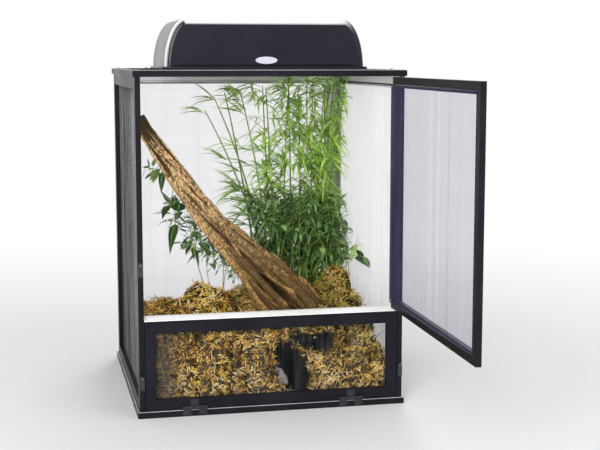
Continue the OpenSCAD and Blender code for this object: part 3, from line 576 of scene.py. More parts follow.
def lattice(points, size, seed):
    """Smooth noise from -1 to 1: random numbers on a cubic lattice of pitch size, blended by the
    smoothstep of the place in the cell."""
    table = np.random.default_rng(seed).uniform(-1, 1, 4096)
    place = np.asarray(points) / size
    cell = np.floor(place).astype(np.int64)
    share = place - cell
    share = share * share * (3 - 2 * share)
    total = 0.0
    for corner in np.ndindex(2, 2, 2):
        key = ((cell + corner) * (73856093, 19349663, 83492791)).astype(np.int64)
        key = (key[..., 0] ^ key[..., 1] ^ key[..., 2]) & 4095
        weight = np.prod(np.where(np.array(corner) == 1, share, 1 - share), axis=-1)
        total = total + table[key] * weight
    return total


def fractal(points, size, seed, octaves=3):
    """Layers of smooth noise, each of half the size and half the strength of the one before."""
    return sum(lattice(points, size / 2**step, seed + step) / 2**step for step in range(octaves))


def soft_step(value, low, high):
    """0 up to low and 1 from high, with the smoothstep between them."""
    share = np.clip((value - low) / (high - low), 0, 1)
    return share * share * (3 - 2 * share)


def curve_through(knots, stations):
    """A smooth line through the knots (Catmull-Rom), at even shares of the knots' numbers."""
    knots = np.asarray(knots, float)
    ends = np.concatenate([[2 * knots[0] - knots[1]], knots, [2 * knots[-1] - knots[-2]]])
    place = np.linspace(0, len(knots) - 1, stations)
    start = np.minimum(place.astype(int), len(knots) - 2)
    t = (place - start)[:, None]
    a, b, c, d = (ends[start + step] for step in range(4))
    square, cube = 2 * a - 5 * b + 4 * c - d, 3 * b - a - 3 * c + d
    return 0.5 * (2 * b + (c - a) * t + square * t**2 + cube * t**3)


# ------------------------------------------------------------------ cage


# A panel's body, its four bars, the axis it faces along and the side of its cord's groove
Panel = namedtuple("Panel", "body bars facing side")


def panel(body, name, bars, facing, side):
    """A panel whose bars' nodes are its name and a bar's, joined by an underscore."""
    return Panel(body, tuple(f"{name}_{bar}" for bar in bars), facing, side)


PANELS = {
    "left": panel("root", "left", ("bottom_rail", "front_stile", "top_rail", "rear_stile"), 0, 1),
    "right": panel("root", "right", ("bottom_rail", "front_stile", "top_rail", "rear_stile"), 0, -1),
    "back": panel("root", "back", ("bottom_rail", "left_stile", "top_rail", "right_stile"), 1, -1),
    "top": panel("root", "top", ("front_rail", "left_rail", "rear_rail", "right_rail"), 2, 1),
    "upper_door": panel(
        "upper_door", "upper_door", ("bottom_rail", "latch_stile", "top_rail", "hinge_stile"), 0, -1
    ),
    "lower_door": panel(
        "lower_door", "lower_door", ("bottom_rail", "left_stile", "top_rail", "right_stile"), 1, 1
    ),
}
CORDS = {"upper_door": "upper_door_spline", "lower_door": "lower_door_spline"}
CLOTHS = {"top": "top_screen", "upper_door": "upper_door_screen", "lower_door": "lower_door_screen"}
# How deep the cloth's middle and the cord lie under the face that holds the groove
CLOTH_DEPTH, CORD_DEPTH = 0.2 * MM, 0.25 * MM


def panel_plane(name):
    """(two axes of the panel's plane, axis it faces along, low corner, high corner, place of the face
    that holds the groove along that axis)."""
    _, bars, facing, side = PANELS[name]
    low, high = box(*bars)
    if name == "top":
        low[:2], high[:2] = -TOP_PANEL_HALF, TOP_PANEL_HALF
    across = [axis for axis in range(3) if axis != facing]
    return across, facing, low, high, (high if side > 0 else low)[facing]


def panel_bar_width(name):
    """Face width of the panel's bars."""
    return sizes().door_bar_width if "door" in name else sizes().bar_width


def woven_cloth(name, material):
    """Two layers of straight wires that just overlap, a pitch from each other, that end in the grooves
    of the panel's bars. The inside value is 1 along a wire's inner side and 0 along its outer one, and
    lower by 0.2 on the left wall, whose pale side is narrower."""
    (first, second), facing, low, high, face = panel_plane(name)
    height = face - PANELS[name].side * CLOTH_DEPTH
    inward = PANELS[name].side * (-1 if name == "top" else 1)
    inset = panel_bar_width(name) - sizes().groove_centre
    radius = sizes().wire_width / 2
    parts, inside = [], []
    for along, over, lift in ((first, second, radius), (second, first, -radius)):
        start, end = low[over] + inset, high[over] - inset
        number = int((end - start) / sizes().wire_pitch)
        places = start + (np.arange(number) + 0.5) * (end - start) / number
        slack = lattice(np.column_stack([places, places * 0, places * 0]), 14 * MM, 91 + over)
        thick = radius * (1 + 0.3 * slack[:, None] ** 3 * np.ones(4))
        centres = np.zeros((number, 4, 3))
        centres[:, :, over] = places[:, None]
        centres[:, :, facing] = height + lift * 0.9
        centres[:, :2, along] = low[along] + inset
        centres[:, 2:, along] = high[along] - inset
        forward, across = np.eye(3)[along], np.eye(3)[over]
        turned = inward * np.cross(forward, across)[facing]
        ring = 0.5 + 0.5 * turned * np.sin(np.arange(4) * TAU / 4)
        ring = ring - (0.2 if name == "left" else 0.0)
        inside.append(np.tile(np.concatenate([ring[:1], ring, ring, ring[:1]]), number))
        # The end points all but touch the end rings, so that each wire is cut square
        nudge = np.array([0, 1e-7, -1e-7, 0])[:, None] * forward
        parts.append(tubes(centres + nudge, np.tile(across, (number, 1)), thick, thick, 4))
    make(
        f"{name}_cloth", *joined(parts), material, PANELS[name].body, "screen_cloth",
        (CLOTHS.get(name, "wall_screens"),), smooth=False, inside=np.concatenate(inside),
    )


def spline_cord(name, material):
    """Four ribbed cords in the panel's groove: each is a tube whose radius swells at every rib."""
    (first, second), facing, low, high, face = panel_plane(name)
    inset = panel_bar_width(name) - sizes().groove_centre
    radius = sizes().cord_radius
    height = face - PANELS[name].side * (radius + CORD_DEPTH)
    rib, sides = 1.8 * MM, 8
    parts = []
    for along, over in ((first, second), (second, first)):
        for edge in (low[over] + inset, high[over] - inset):
            reach = inset + (radius * 1.2 if over == first else -radius * 0.2)
            start, end = low[along] + reach, high[along] - reach
            stations = int((end - start) / rib) * 3 + 1
            centres = np.zeros((1, stations, 3))
            centres[..., over], centres[..., facing] = edge, height
            centres[0, :, along] = np.linspace(start, end, stations)
            swell = radius * np.where(np.arange(stations) % 3 == 0, 1.0, 0.86)[None]
            parts.append(tubes(centres, np.eye(3)[[over]], swell, swell, sides))
    make(
        f"{name}_cord", *joined(parts), material, PANELS[name].body, "spline_cord",
        (CORDS.get(name, "cage_splines"),),
    )


def finish_bars():
    """Bars and trims keep their solids' shape, with softened edges. Door and front bars have drawing
    lines along them, side and back bars are painted pale inside as painted light, and the trims carry
    painted highlights on their lips."""
    base = list(colours().bar)
    kinds = {axis: black_bar(f"bar_{'xyz'[axis]}", base, axis) for axis in range(3)}
    pale = [black_bar(f"inner_lit_bar_{'xy'[axis]}", base, facing=axis) for axis in range(2)]
    lipped = black_bar("top_trim", base, lip_z=CAGE_TOP)
    footed = black_bar("base_trim", base, lip_z=BASE_LIP)
    for name, sides in PANELS.items():
        for bar in sides.bars:
            low, high = box(bar)
            along = int(np.argmax(high - low))
            kind = lipped if name == "top" else kinds[along]
            if name in ("left", "right", "back") and "front" not in bar:
                kind = pale[sides.facing]
            dress(kind, bar)
            soften(sizes().edge_round, bar)
    dress(kinds[0], "front_crossbar", "front_bottom_rail")
    dress(footed, "base_rails")
    soften(sizes().edge_round, "front_crossbar", "front_bottom_rail", "base_rails")


# ------------------------------------------------------------------ hood


def hood_outline(half_width, height, shoulder, stations=26):
    """(x, z) points and outward normals along the hood's front outline, from its right foot over the
    top to its left foot: on each side a quarter ellipse as wide as the shoulder and as tall as the
    hood, and a level line between them."""
    turn = np.linspace(0.03, math.pi / 2, stations)
    right = np.stack([half_width - shoulder + shoulder * np.cos(turn), height * np.sin(turn)], -1)
    normal = unit(np.stack([np.cos(turn) * height, np.sin(turn) * shoulder], -1))
    level = np.linspace(half_width - shoulder, -half_width + shoulder, 14)[1:-1]
    top = np.stack([level, np.full(len(level), height)], -1)
    flip = np.array([-1, 1])
    points = np.concatenate([right, top, right[::-1] * flip])
    normals = np.concatenate([normal, np.tile([0.0, 1.0], (len(level), 1)), normal[::-1] * flip])
    foot, foot_normal = np.array([half_width, 0.0]), np.array([1.0, 0.0])
    points = np.concatenate([[foot], points, [foot * flip]])
    return points, np.concatenate([[foot_normal], normals, [foot_normal * flip]])


# Width of the bead round the hood's foot, and how far the cover's edge stands over that foot
HOOD_RIM, HOOD_SEAT = 4 * MM, 0.2 * MM


def hood_cover(material):
    """Pressed cover: the outline is carried from front to back, drawn in along its normal on a
    quarter circle at each long edge, and filled down to the foot at both ends. It carries a painted
    highlight along its front edge, in a narrower band at the left end and not at all at the right one."""
    low, high = box("hood_wrap", "hood_front", "hood_back")
    centre, foot = (low + high) / 2, low[2]
    half_width, half_depth = (high - centre)[:2] - HOOD_RIM
    radius = sizes().hood_edge
    points, normals = hood_outline(half_width, high[2] - foot, sizes().hood_shoulder)
    fills, turns = 8, 7
    fill = np.linspace(0.0, 1.0, fills + 1)[:-1]
    turn = np.linspace(math.pi / 2, 0, turns)
    reach = half_depth - radius + radius * np.sin(turn)
    inset = radius * (1 - np.cos(turn))
    edge = points - normals * inset[0]
    edge[:, 1] = np.maximum(edge[:, 1], 0.0)
    columns = [(edge * [1, share], -half_depth) for share in fill]
    columns += [(points - normals * i, -r) for i, r in zip(inset, reach)]
    columns.append((points, 3 * MM - reach[-1]))
    columns += [(points - normals * i, r) for i, r in zip(inset[::-1], reach[::-1])]
    columns += [(edge * [1, share], half_depth) for share in fill[::-1]]
    outlines = np.stack([outline for outline, _ in columns], axis=1)
    depth = np.broadcast_to([depth for _, depth in columns], outlines.shape[:2])
    grid = np.stack([outlines[..., 0], depth, np.maximum(outlines[..., 1], 0.0)], -1)
    side = grid[..., 0] / half_width
    grid = grid + [centre[0], centre[1], foot + HOOD_SEAT]
    rows, cols = grid.shape[:2]
    turned = np.zeros(cols)
    turned[fills : fills + turns] = np.linspace(0, 1, turns)
    # Painted highlight: where the cover is painted bright along its front edge and, narrower, at the
    # left end
    wear_and_highlight = np.where(side < -0.8, soft_step(turned, 0.3, 0.7), soft_step(turned, 0.0, 0.28))
    wear_and_highlight = wear_and_highlight * (1 - soft_step(side, 0.74, 0.9))
    index = np.arange(rows * cols).reshape(rows, cols)
    quads = np.stack([index[:-1, 1:], index[1:, 1:], index[1:, :-1], index[:-1, :-1]], -1)
    piece = make(
        "hood_cover", grid, quads, [], material, "hood", "hood_enamel",
        ("hood_wrap", "hood_front", "hood_back"), edge=wear_and_highlight,
    )
    weld = piece.modifiers.new("weld", "WELD")
    weld.merge_threshold = 0.02 * MM
    wall = piece.modifiers.new("sheet", "SOLIDIFY")
    wall.thickness, wall.offset = sizes().hood_sheet, -1.0
    return centre, half_width, half_depth, foot


def rounded_frame(name, centre, half, axes, section, material, slot, corner):
    """A bar on the hood, carried round a rectangle with rounded corners: half is its half sizes,
    axes are its two directions and its normal, and the section's corners are given outwards and
    along the normal."""
    turn = np.linspace(0, math.pi / 2, 5)
    path, outward = [], []
    for quarter, (x, y) in enumerate(((1, 1), (-1, 1), (-1, -1), (1, -1))):
        angle = turn + quarter * math.pi / 2
        ray = np.stack([np.cos(angle), np.sin(angle)], -1)
        path.append(np.array([x * (half[0] - corner), y * (half[1] - corner)]) + ray * corner)
        outward.append(ray)
    path, outward = np.concatenate(path), np.concatenate(outward)
    section = np.asarray(section)
    flat = path[:, None] + outward[:, None] * section[None, :, :1]
    points = np.asarray(centre) + flat @ np.array(axes[:2]) + section[None, :, 1:] * np.asarray(axes[2])
    rows, cols = points.shape[:2]
    index = np.arange(rows * cols).reshape(rows, cols)
    below, beside = np.roll(index, -1, 0), np.roll(index, -1, 1)
    quads = np.stack([index, below, np.roll(below, -1, 1), beside], -1).reshape(-1, 4)
    return make(name, points, quads, [], material, "hood", slot)


def rounded_section(width, height, radius):
    """Corners of a bar's section with rounded edges, from its inner lower corner, anticlockwise."""
    turn = np.linspace(0, math.pi / 2, 4)
    corners = []
    for quarter, (x, y) in enumerate(((1, 1), (0, 1), (0, 0), (1, 0))):
        angle = turn + quarter * math.pi / 2
        centre = np.array([radius + x * (width - 2 * radius), radius + y * (height - 2 * radius)])
        corners.append(centre + radius * np.stack([np.cos(angle), np.sin(angle)], -1))
    return np.concatenate(corners)


# ------------------------------------------------------------------ planting

# Driftwood: right, back, height and radius in millimetres, from its thin upper end to its buried foot
TRUNK = (
    (-176.1, 19.2, 432.1, 11), (-149.8, 11.5, 388.0, 13), (-121.9, 3.8, 346.0, 15.5),
    (-90.2, -7.7, 300.0, 17), (-59.5, -18.2, 261.9, 19), (-27.8, -29.8, 227.8, 23),
    (8.6, -46.1, 187.8, 30), (39.2, -61.4, 148.2, 38), (65.2, -79.7, 108.2, 41),
    (89.2, -94.1, 66.1, 36), (99.8, -99.8, 39.9, 26),
)
# Moss mounds: right, back, radius and height over the mat in millimetres
MOUNDS = (
    (-136, -121, 50, 20), (-94, -84, 48, 52), (-52, -70, 34, 26), (-138, -23, 40, 12),
    (134, -104, 46, 38), (138, -27, 56, 60), (19, 154, 50, 10),
)
# How far the beds reach out from the middle, their foot and the tops of bark and moss
BED_EDGE, BED_FOOT, BED_TOP, MOSS_TOP = 191.2 * MM, 5.4 * MM, 118 * MM, 126.2 * MM
# How far leaves and stems reach out and up, and where they begin to be eased back
PLANT_LIMIT, PLANT_TOP, PLANT_EASE = 190 * MM, 504 * MM, 14 * MM


def inside(points):
    """The points, eased to stay clear of the walls and the top: beyond the ease line a distance d
    becomes ease x tanh(d / ease)."""
    line = np.array([PLANT_LIMIT, PLANT_LIMIT, PLANT_TOP]) - PLANT_EASE
    away = np.abs(points)
    eased = PLANT_EASE * np.tanh(np.maximum(away - line, 0) / PLANT_EASE)
    return np.sign(points) * (np.minimum(away, line) + eased)


def driftwood(material):
    """The trunk: a smooth line through its rows with rings drawn out in long ridges, which are noise
    read round the trunk quickly and along it slowly, folded at zero so that grooves are sharp."""
    stations, sides = 300, 96
    rows = curve_through(np.array(TRUNK) * MM, stations)
    centres, radius = rows[None, :, :3], rows[:, 3]
    around = np.arange(sides) * TAU / sides
    along = np.cumsum(np.r_[0, np.linalg.norm(np.diff(rows[:, :3], axis=0), axis=1)])
    twist = around[None] + 2.2 * along[:, None] / 0.4
    slow = np.broadcast_to(along[:, None] * 5.0, twist.shape)
    read = np.stack([np.cos(twist), np.sin(twist), slow], -1)
    ridges = 1 - np.abs(fractal(read, 0.42, 11, 3))
    lumps = fractal(read * [1, 1, 1.6], 1.3, 23, 2)
    cracks = np.abs(lattice(read * [1, 1, 0.5], 0.16, 31))
    lower = 1 + 1.2 * soft_step(along / along[-1], 0.45, 0.75)[:, None]
    height = lower * (0.44 * (ridges - 0.72) + 0.12 * (cracks - 0.5)) + 0.20 * lumps
    width = (radius[:, None] * (1 + height))[None]
    vertices, quads, triangles = tubes(centres, np.array([[0.0, 1.0, 0.0]]), width, width, sides)
    groove = np.clip(0.5 + height * 2.2 / lower**0.3 + 0.25 * (cracks - 0.4), 0, 1)
    groove = np.concatenate([groove[:1, 0], groove[1:-1].ravel(), groove[-1:, 0]])
    make(
        "driftwood_trunk", vertices, quads, triangles, material, "root", "driftwood", ("driftwood",),
        groove=groove,
    )
    roots(material, rows)


def roots(material, rows):
    """Side roots that wind along the trunk: each keeps to its surface at an angle that drifts. All but
    the first few are stout and straighter, and cover its lower part."""
    rng = np.random.default_rng(5)
    number, slim, stations, sides = 24, 9, 90, 10
    stout = np.arange(number) >= slim
    start = rng.uniform(0.28, 0.6, number)
    end = np.clip(start + rng.uniform(0.25, 0.5, number) + stout * 0.3, 0, 0.97)
    share = start[:, None] + (end - start)[:, None] * np.linspace(0, 1, stations)
    spot = share * (len(rows) - 1)
    base = spot.astype(int)
    part = (spot - base)[..., None]
    line = rows[base] * (1 - part) + rows[np.minimum(base + 1, len(rows) - 1)] * part
    forward = unit(np.gradient(line[..., :3], axis=1))
    across = unit(np.cross(forward, [0, 1.0, 0]))
    lift = np.cross(across, forward)
    first = np.where(stout, np.arange(number) * TAU / (number - slim), rng.uniform(0, TAU, number))
    drift = rng.uniform(-2.2, 2.2, number) * np.where(stout, 0.16, 1.0) + stout * 0.7
    turn = first[:, None] + drift[:, None] * np.linspace(0, 1, stations)
    out = np.cos(turn)[..., None] * across + np.sin(turn)[..., None] * lift
    centres = line[..., :3] + out * (line[..., 3:] * np.where(stout, 1.0, 0.93)[:, None, None])
    width = (rng.uniform(2.4, 5.5, number) * np.where(stout, 1.6, 1.0))[:, None] * MM
    width = width * np.sin(np.linspace(0.15, 3.0, stations)) ** 0.5
    width = width * (1 + 0.18 * lattice(centres, 9 * MM, 41))
    groove = spread(rng.uniform(0.3, 0.95, number), stations, sides)
    make(
        "driftwood_roots", *tubes(centres, out, width, width, sides), material, "root", "driftwood",
        groove=groove,
    )


def wood_finish():
    """Weathered wood: pale orange ridges, dark grooves that are partly painted shade, fine grain, a
    painted highlight on its upper ridges, and painted shade low down that turns near black grey-green
    where it meets the bark.
    """
    finish = Finish("driftwood")
    groove = finish.attribute("groove")
    wood, dark = list(colours().wood), list(colours().wood_dark)
    fine = finish.noise(2.4 * MM, 4.0, 0.65, stretch=(0.7, 1.0, 0.4))
    broad = finish.noise(40 * MM, 3.0)
    half = [c * 0.5 for c in wood]
    # The grooves' dark is partly the grain's own colour and partly painted shade in the creases
    shade = finish.ramp(groove, (0.12, dark), (0.42, half), (0.62, wood), (0.9, (0.66, 0.42, 0.18)))
    shade = finish.mix(finish.limits(fine, 0.42, 0.6, 0.75, 0.0), shade, dark)
    shade = finish.mix(finish.limits(broad, 0.5, 0.75, 0.0, 0.45), shade, (0.30, 0.22, 0.13))
    height = finish.axes().part("Z")
    # Painted highlight on the upper ridges
    painted_highlight = finish.limits(height, 0.18, 0.36) * finish.limits(fine, 0.42, 0.56)
    painted_highlight = painted_highlight * finish.limits(groove, 0.2, 0.5)
    shade = finish.mix(painted_highlight * 0.85, shade, (0.96, 0.64, 0.32))
    # Painted shade: darker low down, and a near black grey-green painted shadow where the trunk meets
    # the bark
    dull = finish.limits(height, 0.30, 0.16, 0.0, 0.9)
    shade = finish.mix(dull, shade, (0.78, 0.72, 0.50), "MULTIPLY")
    shade = finish.mix(finish.limits(height, 0.135, 0.112), shade, (0.022, 0.032, 0.026))
    normal = finish.bump(fine, 1.2 * MM, 0.8)
    return finish.done(Base_Color=shade, Roughness=0.8, Normal=normal, Specular_IOR_Level=0.25)


# Steps of a bed's outline up its back, over its top, down its front and along its foot, and its
# stations from left to right and in each closed end
BED_STEPS, BED_STATIONS, BED_ENDS = (26, 86, 32, 40), 96, 11


def lump(name, limits, top, hollow, rough, seed, material, slot, stands_for, slope=None):
    """A closed bed: a rectangle's outline in depth and height, carried from left to right and drawn
    together to a point at both ends; top gives its height, hollow pushes its front in, and noise
    roughens it. slope narrows its right end with height."""
    x_low, x_high, y_low, y_high, z_low = limits
    back, over, front, under = (np.linspace(0, 1, steps + 1)[:-1] for steps in BED_STEPS)
    edge = [(1, t) for t in back] + [(1 - t, 1) for t in over]
    edge = np.array(edge + [(0, 1 - t) for t in front] + [(t, 0) for t in under])
    opening, closing = np.linspace(0.07, 0.93, BED_ENDS), np.linspace(0.93, 0.07, BED_ENDS)
    shrink = np.concatenate([opening, np.ones(BED_STATIONS), closing])
    place = np.concatenate([np.zeros(BED_ENDS), np.linspace(0, 1, BED_STATIONS), np.ones(BED_ENDS)])
    share = 0.5 + (edge[None] - 0.5) * shrink[:, None, None]
    share = np.concatenate([np.full((1, len(edge), 2), 0.5), share, np.full((1, len(edge), 2), 0.5)])
    place = np.concatenate([[0], place, [1]])
    depth = y_low + (y_high - y_low) * share[..., 0]
    x = np.broadcast_to((x_low + (x_high - x_low) * place)[:, None], depth.shape)
    height = z_low + (top(x, depth) - z_low) * share[..., 1]
    if slope is not None:
        x = x_low + (x - x_low) * (slope(height) - x_low) / (x_high - x_low)
    points = np.stack([x, depth, height], -1)
    points[..., 1] += hollow(points) if hollow is not None else 0.0
    wave = np.stack([fractal(points, 16 * MM, seed + k, 3) for k in range(3)], -1)
    points = points + wave * rough
    points[..., :2] = np.clip(points[..., :2], -BED_EDGE, BED_EDGE)
    points[..., 2] = np.maximum(points[..., 2], z_low)
    points[..., 2] -= back_drop(points[..., 0], points[..., 1]) * soft_step(points[..., 2], 0.02, 0.11)
    points[0], points[-1] = points[0].mean(axis=0), points[-1].mean(axis=0)
    vertices = np.concatenate([points[:1, 0], points[1:-1].reshape(-1, 3), points[-1:, 0]])
    faces = tube_faces(len(place) - 2, len(edge))
    return make(name, vertices, *faces, material, "root", slot, stands_for)


def stone(centre, half, material):
    """A pebble: a ball of latitude rings drawn out to its half sizes and dented by noise, then made
    narrower and pushed to the left with height."""
    rows, sides = 14, 20
    turn = np.linspace(0, math.pi, rows + 2)
    axis = np.zeros((1, rows + 2, 3))
    axis[0, :, 0] = -np.cos(turn) * half[0]
    width, depth = (np.sin(turn)[None] * size for size in (half[1], half[2]))
    points, quads, triangles = tubes(axis, np.array([[0.0, 1.0, 0.0]]), width, depth, sides)
    points = points * (1 + 0.26 * fractal(points, 5 * MM, 19, 3))[:, None]
    points[:, 0] = points[:, 0] * (1 - 0.4 * points[:, 2] / half[2]) - 0.35 * points[:, 2]
    make("cave_stone", points + centre, quads, triangles, material, "root", "bark_bedding")


def bark_hollows(points):
    """How far the bed's front is pushed back: an upright cave and a shadowed recess beside the
    driftwood, both fading out behind the front."""
    x, y, z = (points[..., axis] / MM for axis in range(3))

    def oval(right, up, half_width, half_height, lean, upright):
        """Distance from an oval's middle, 1 at its rim. Above upright it leans to the left."""
        return np.hypot((x - right + (z - upright) * lean) / half_width, (z - up) / half_height)

    ragged = 0.2 * fractal(points, 13 * MM, 33, 2)
    cave = 1 - soft_step(oval(40, 56, 25, 46, 0.36, 38) + ragged, 0.82, 1.1)
    recess = 1 - soft_step(oval(62, 108, 34, 25, 0.5, 112), 0.75, 1.15)
    near = 1 - soft_step(y, -150, -40)
    return np.maximum(cave * 66, recess * 76) * near * MM


def back_drop(x, y):
    """How far both beds fall away towards the back left corner."""
    return 26 * MM * soft_step(y, -0.05, 0.17) * (1 - soft_step(x, -0.03, 0.05))


def moss_height(x, y):
    """Height of the moss: a mat that is a little lower on the left, a bell-shaped mound at each place
    and a fine swell."""
    height = MOSS_TOP - 5 * MM * soft_step(-x, 0.15, 0.19)
    for right, back, radius, rise in MOUNDS:
        away = np.hypot(x - right * MM, y - back * MM) / (0.66 * radius * MM)
        height = height + rise * MM * np.exp(-(away**2))
    flat = np.stack([x, y, np.zeros(np.shape(x))], -1)
    return height + 2.5 * MM * fractal(flat, 30 * MM, 77, 2)


def scatter(piece, number, rng, keep):
    """Random places on the piece's faces, by area: (points, normals) of those that keep accepts."""
    mesh = piece.data
    mesh.calc_loop_triangles()
    corners = np.empty(len(mesh.loop_triangles) * 3, np.int32)
    mesh.loop_triangles.foreach_get("vertices", corners)
    spots = np.empty(len(mesh.vertices) * 3, np.float32)
    mesh.vertices.foreach_get("co", spots)
    a, b, c = np.moveaxis(spots.reshape(-1, 3)[corners.reshape(-1, 3)].astype(float), 1, 0)
    cross = np.cross(b - a, c - a)
    area = np.linalg.norm(cross, axis=1)
    area[~keep((a + b + c) / 3, unit(cross))] = 0.0
    pick = rng.choice(len(area), number, p=area / area.sum())
    u, v = rng.random((2, number, 1))
    u, v = np.where(u + v > 1, 1 - u, u), np.where(u + v > 1, 1 - v, v)
    return a[pick] + u * (b - a)[pick] + v * (c - a)[pick], unit(cross)[pick]


def patches(points):
    """The noise that both the tufts' places and their tints follow."""
    return fractal(points, 12 * MM, 70, 2)


def strands(name, piece, slot, number, long, thick, seed, material, keep, flat=0.6, curl=0.9, tuft=6):
    """Loose pieces that lie on a bed in tufts: each starts just under its surface, runs along it with
    some lift and bends back down, as start + run x t + bend x t squared. flat is its depth's share
    of its width. The pieces of a tuft lie close, run much the same way and share a tint, which
    follows noise and the tuft's own luck."""
    rng = np.random.default_rng(seed)
    tufts = number // tuft
    number = tufts * tuft
    start, normal = (np.repeat(part, tuft, axis=0) for part in scatter(piece, tufts, rng, keep))
    drift = rng.normal(0, 3.0 * MM, (number, 3))
    start = start + drift - (drift * normal).sum(-1, keepdims=True) * normal
    run = unit(np.repeat(rng.normal(size=(tufts, 3)), tuft, axis=0) + rng.normal(0, 0.9, (number, 3)))
    lift = normal * rng.uniform(0.0, 1.0, (number, 1))
    run = unit(run - (run * normal).sum(-1, keepdims=True) * normal + lift)
    reach = long * rng.uniform(0.45, 1.3, (number, 1))
    side = np.cross(run, normal)
    bend = side * rng.uniform(-curl, curl, (number, 1)) - normal * rng.uniform(0.1, 0.6, (number, 1))
    bend = bend * reach
    t = np.linspace(0, 1, 5)[None, :, None]
    centres = start[:, None] - normal[:, None] * 0.6 * MM + (run * reach)[:, None] * t
    centres = centres + bend[:, None] * t**2
    centres[..., :2] = np.clip(centres[..., :2], -BED_EDGE, BED_EDGE)
    centres[..., 2] = np.maximum(centres[..., 2], BED_FOOT)
    width = thick * rng.uniform(0.5, 1.4, (number, 1)) * np.array([[0.6, 1.0, 1.0, 0.8, 0.3]])
    clump = 0.5 + 0.6 * patches(start[::tuft])
    tint = np.repeat(clump + rng.normal(0, 0.2, tufts), tuft)
    tint = np.clip(tint + rng.normal(0, 0.12, number), 0, 1)
    shoots(name, centres, side, width, 3, tint, material, slot, flat=flat)


def blades(
    name, start, run, long, wide, droop, tint, material, slot, stations=7, fold=0.35, fullness=0.7,
    stands_for=(),
):
    """Leaves: each runs from its stalk end as start + run x t, drooping by t squared. Its half width
    is wide x sin(pi x t to the fullness), and its halves fold up from the midrib."""
    t = np.linspace(0, 1, stations)
    fall = np.array([0, 0, -1.0]) * (droop * long)[:, None, None] * (t**2)[None, :, None]
    centres = inside(start[:, None] + (run * long[:, None])[:, None] * t[None, :, None] + fall)
    across = np.cross(run, [0, 0, 1.0]) + 1e-6
    width = wide[:, None] * np.sin(math.pi * np.clip(t, 0.02, 0.98) ** fullness)[None]
    depth = np.full((len(start), stations), 0.16 * MM)
    sides = 4
    vertices, quads, triangles = tubes(centres, across, width, depth, sides, fold)
    ring = np.abs(np.cos(np.arange(sides) * TAU / sides))
    flat = np.tile(ring, (len(start), stations - 2))
    ends = np.zeros((len(start), 1))
    side = np.concatenate([ends, flat, ends], axis=1)
    rim = np.concatenate([ends + 1, flat, ends + 1], axis=1).ravel() > 0.5
    along = np.broadcast_to(t, (len(start), stations))
    return make(
        name, vertices, quads, triangles, material, "root", slot, stands_for, rim=rim,
        tint=spread(tint, stations, sides), along=spread(along, stations, sides), side=side,
    )


# Canes: right, back and height of the tip in millimetres, lean to the right and back in degrees and
# number of sprays of leaves
CANES = (
    (38.4, 119, 470, -9, 1, 13), (69.1, 96, 478, -3, 2, 38), (80.6, 165.1, 480, -4, 0, 42),
    (92.2, 145.9, 485, 1, 1, 38), (115.2, 99.8, 483, 1, 2, 42), (119, 165.1, 480, 0, 1, 38),
    (130.6, 134.4, 485, 1, 0, 38), (149.8, 96, 470, 3, 0, 46), (151.7, 161.3, 485, 2, 0, 38),
    (153.6, 126.7, 483, 3, 0, 42), (52, 140, 462, -14, -1, 11), (60, 128, 440, -19, -2, 6),
    (64, 156, 474, -8, 0, 24), (104, 150, 500, -1, 0, 44), (140, 112, 496, 4, 0, 50),
    (138.2, 142.1, 500, 5, 0, 50), (152, 120, 486, 7, 0, 26),
)


# Radius of twigs and leaf stalks, and leaves on a spray of bamboo
THIN_STALK, SPRAY_LEAVES = 0.45 * MM, 6
# Heights in the bark where the canes and the vines' stems begin
CANE_FOOT, STEM_FOOT = 104 * MM, 96 * MM


def cane_lines(facts, rng, stations):
    """(cane, station, 3) places along the canes from foot to tip: they lean out by t to the 1.8 and
    bow a little."""
    foot = np.column_stack([facts[:, :2] * MM, np.full(len(facts), CANE_FOOT)])
    tall = facts[:, 2] * MM - foot[:, 2]
    top = foot + np.column_stack([np.tan(np.radians(facts[:, 3:5])) * tall[:, None], tall])
    t = np.linspace(0, 1, stations)
    bow = np.column_stack([rng.normal(0, 4 * MM, (len(facts), 2)), np.zeros(len(facts))])
    rise = np.column_stack([t**1.8, t**1.8, t])
    line = foot[:, None] + (top - foot)[:, None] * rise + bow[:, None] * np.sin(math.pi * t)[:, None]
    return inside(line)


def sprays(base, angle, rise, reach, stations=6):
    """(lines, directions) of twigs that leave their cane at an angle round it, rise and then arch over
    by t squared."""
    twig = unit(np.column_stack([np.cos(angle), np.sin(angle), rise]))
    t = np.linspace(0, 1, stations)[:, None]
    fall = np.array([0, 0, -0.3]) * reach[:, None]
    return inside(base[:, None] + (twig * reach[:, None])[:, None] * t + fall[:, None] * t**2), twig


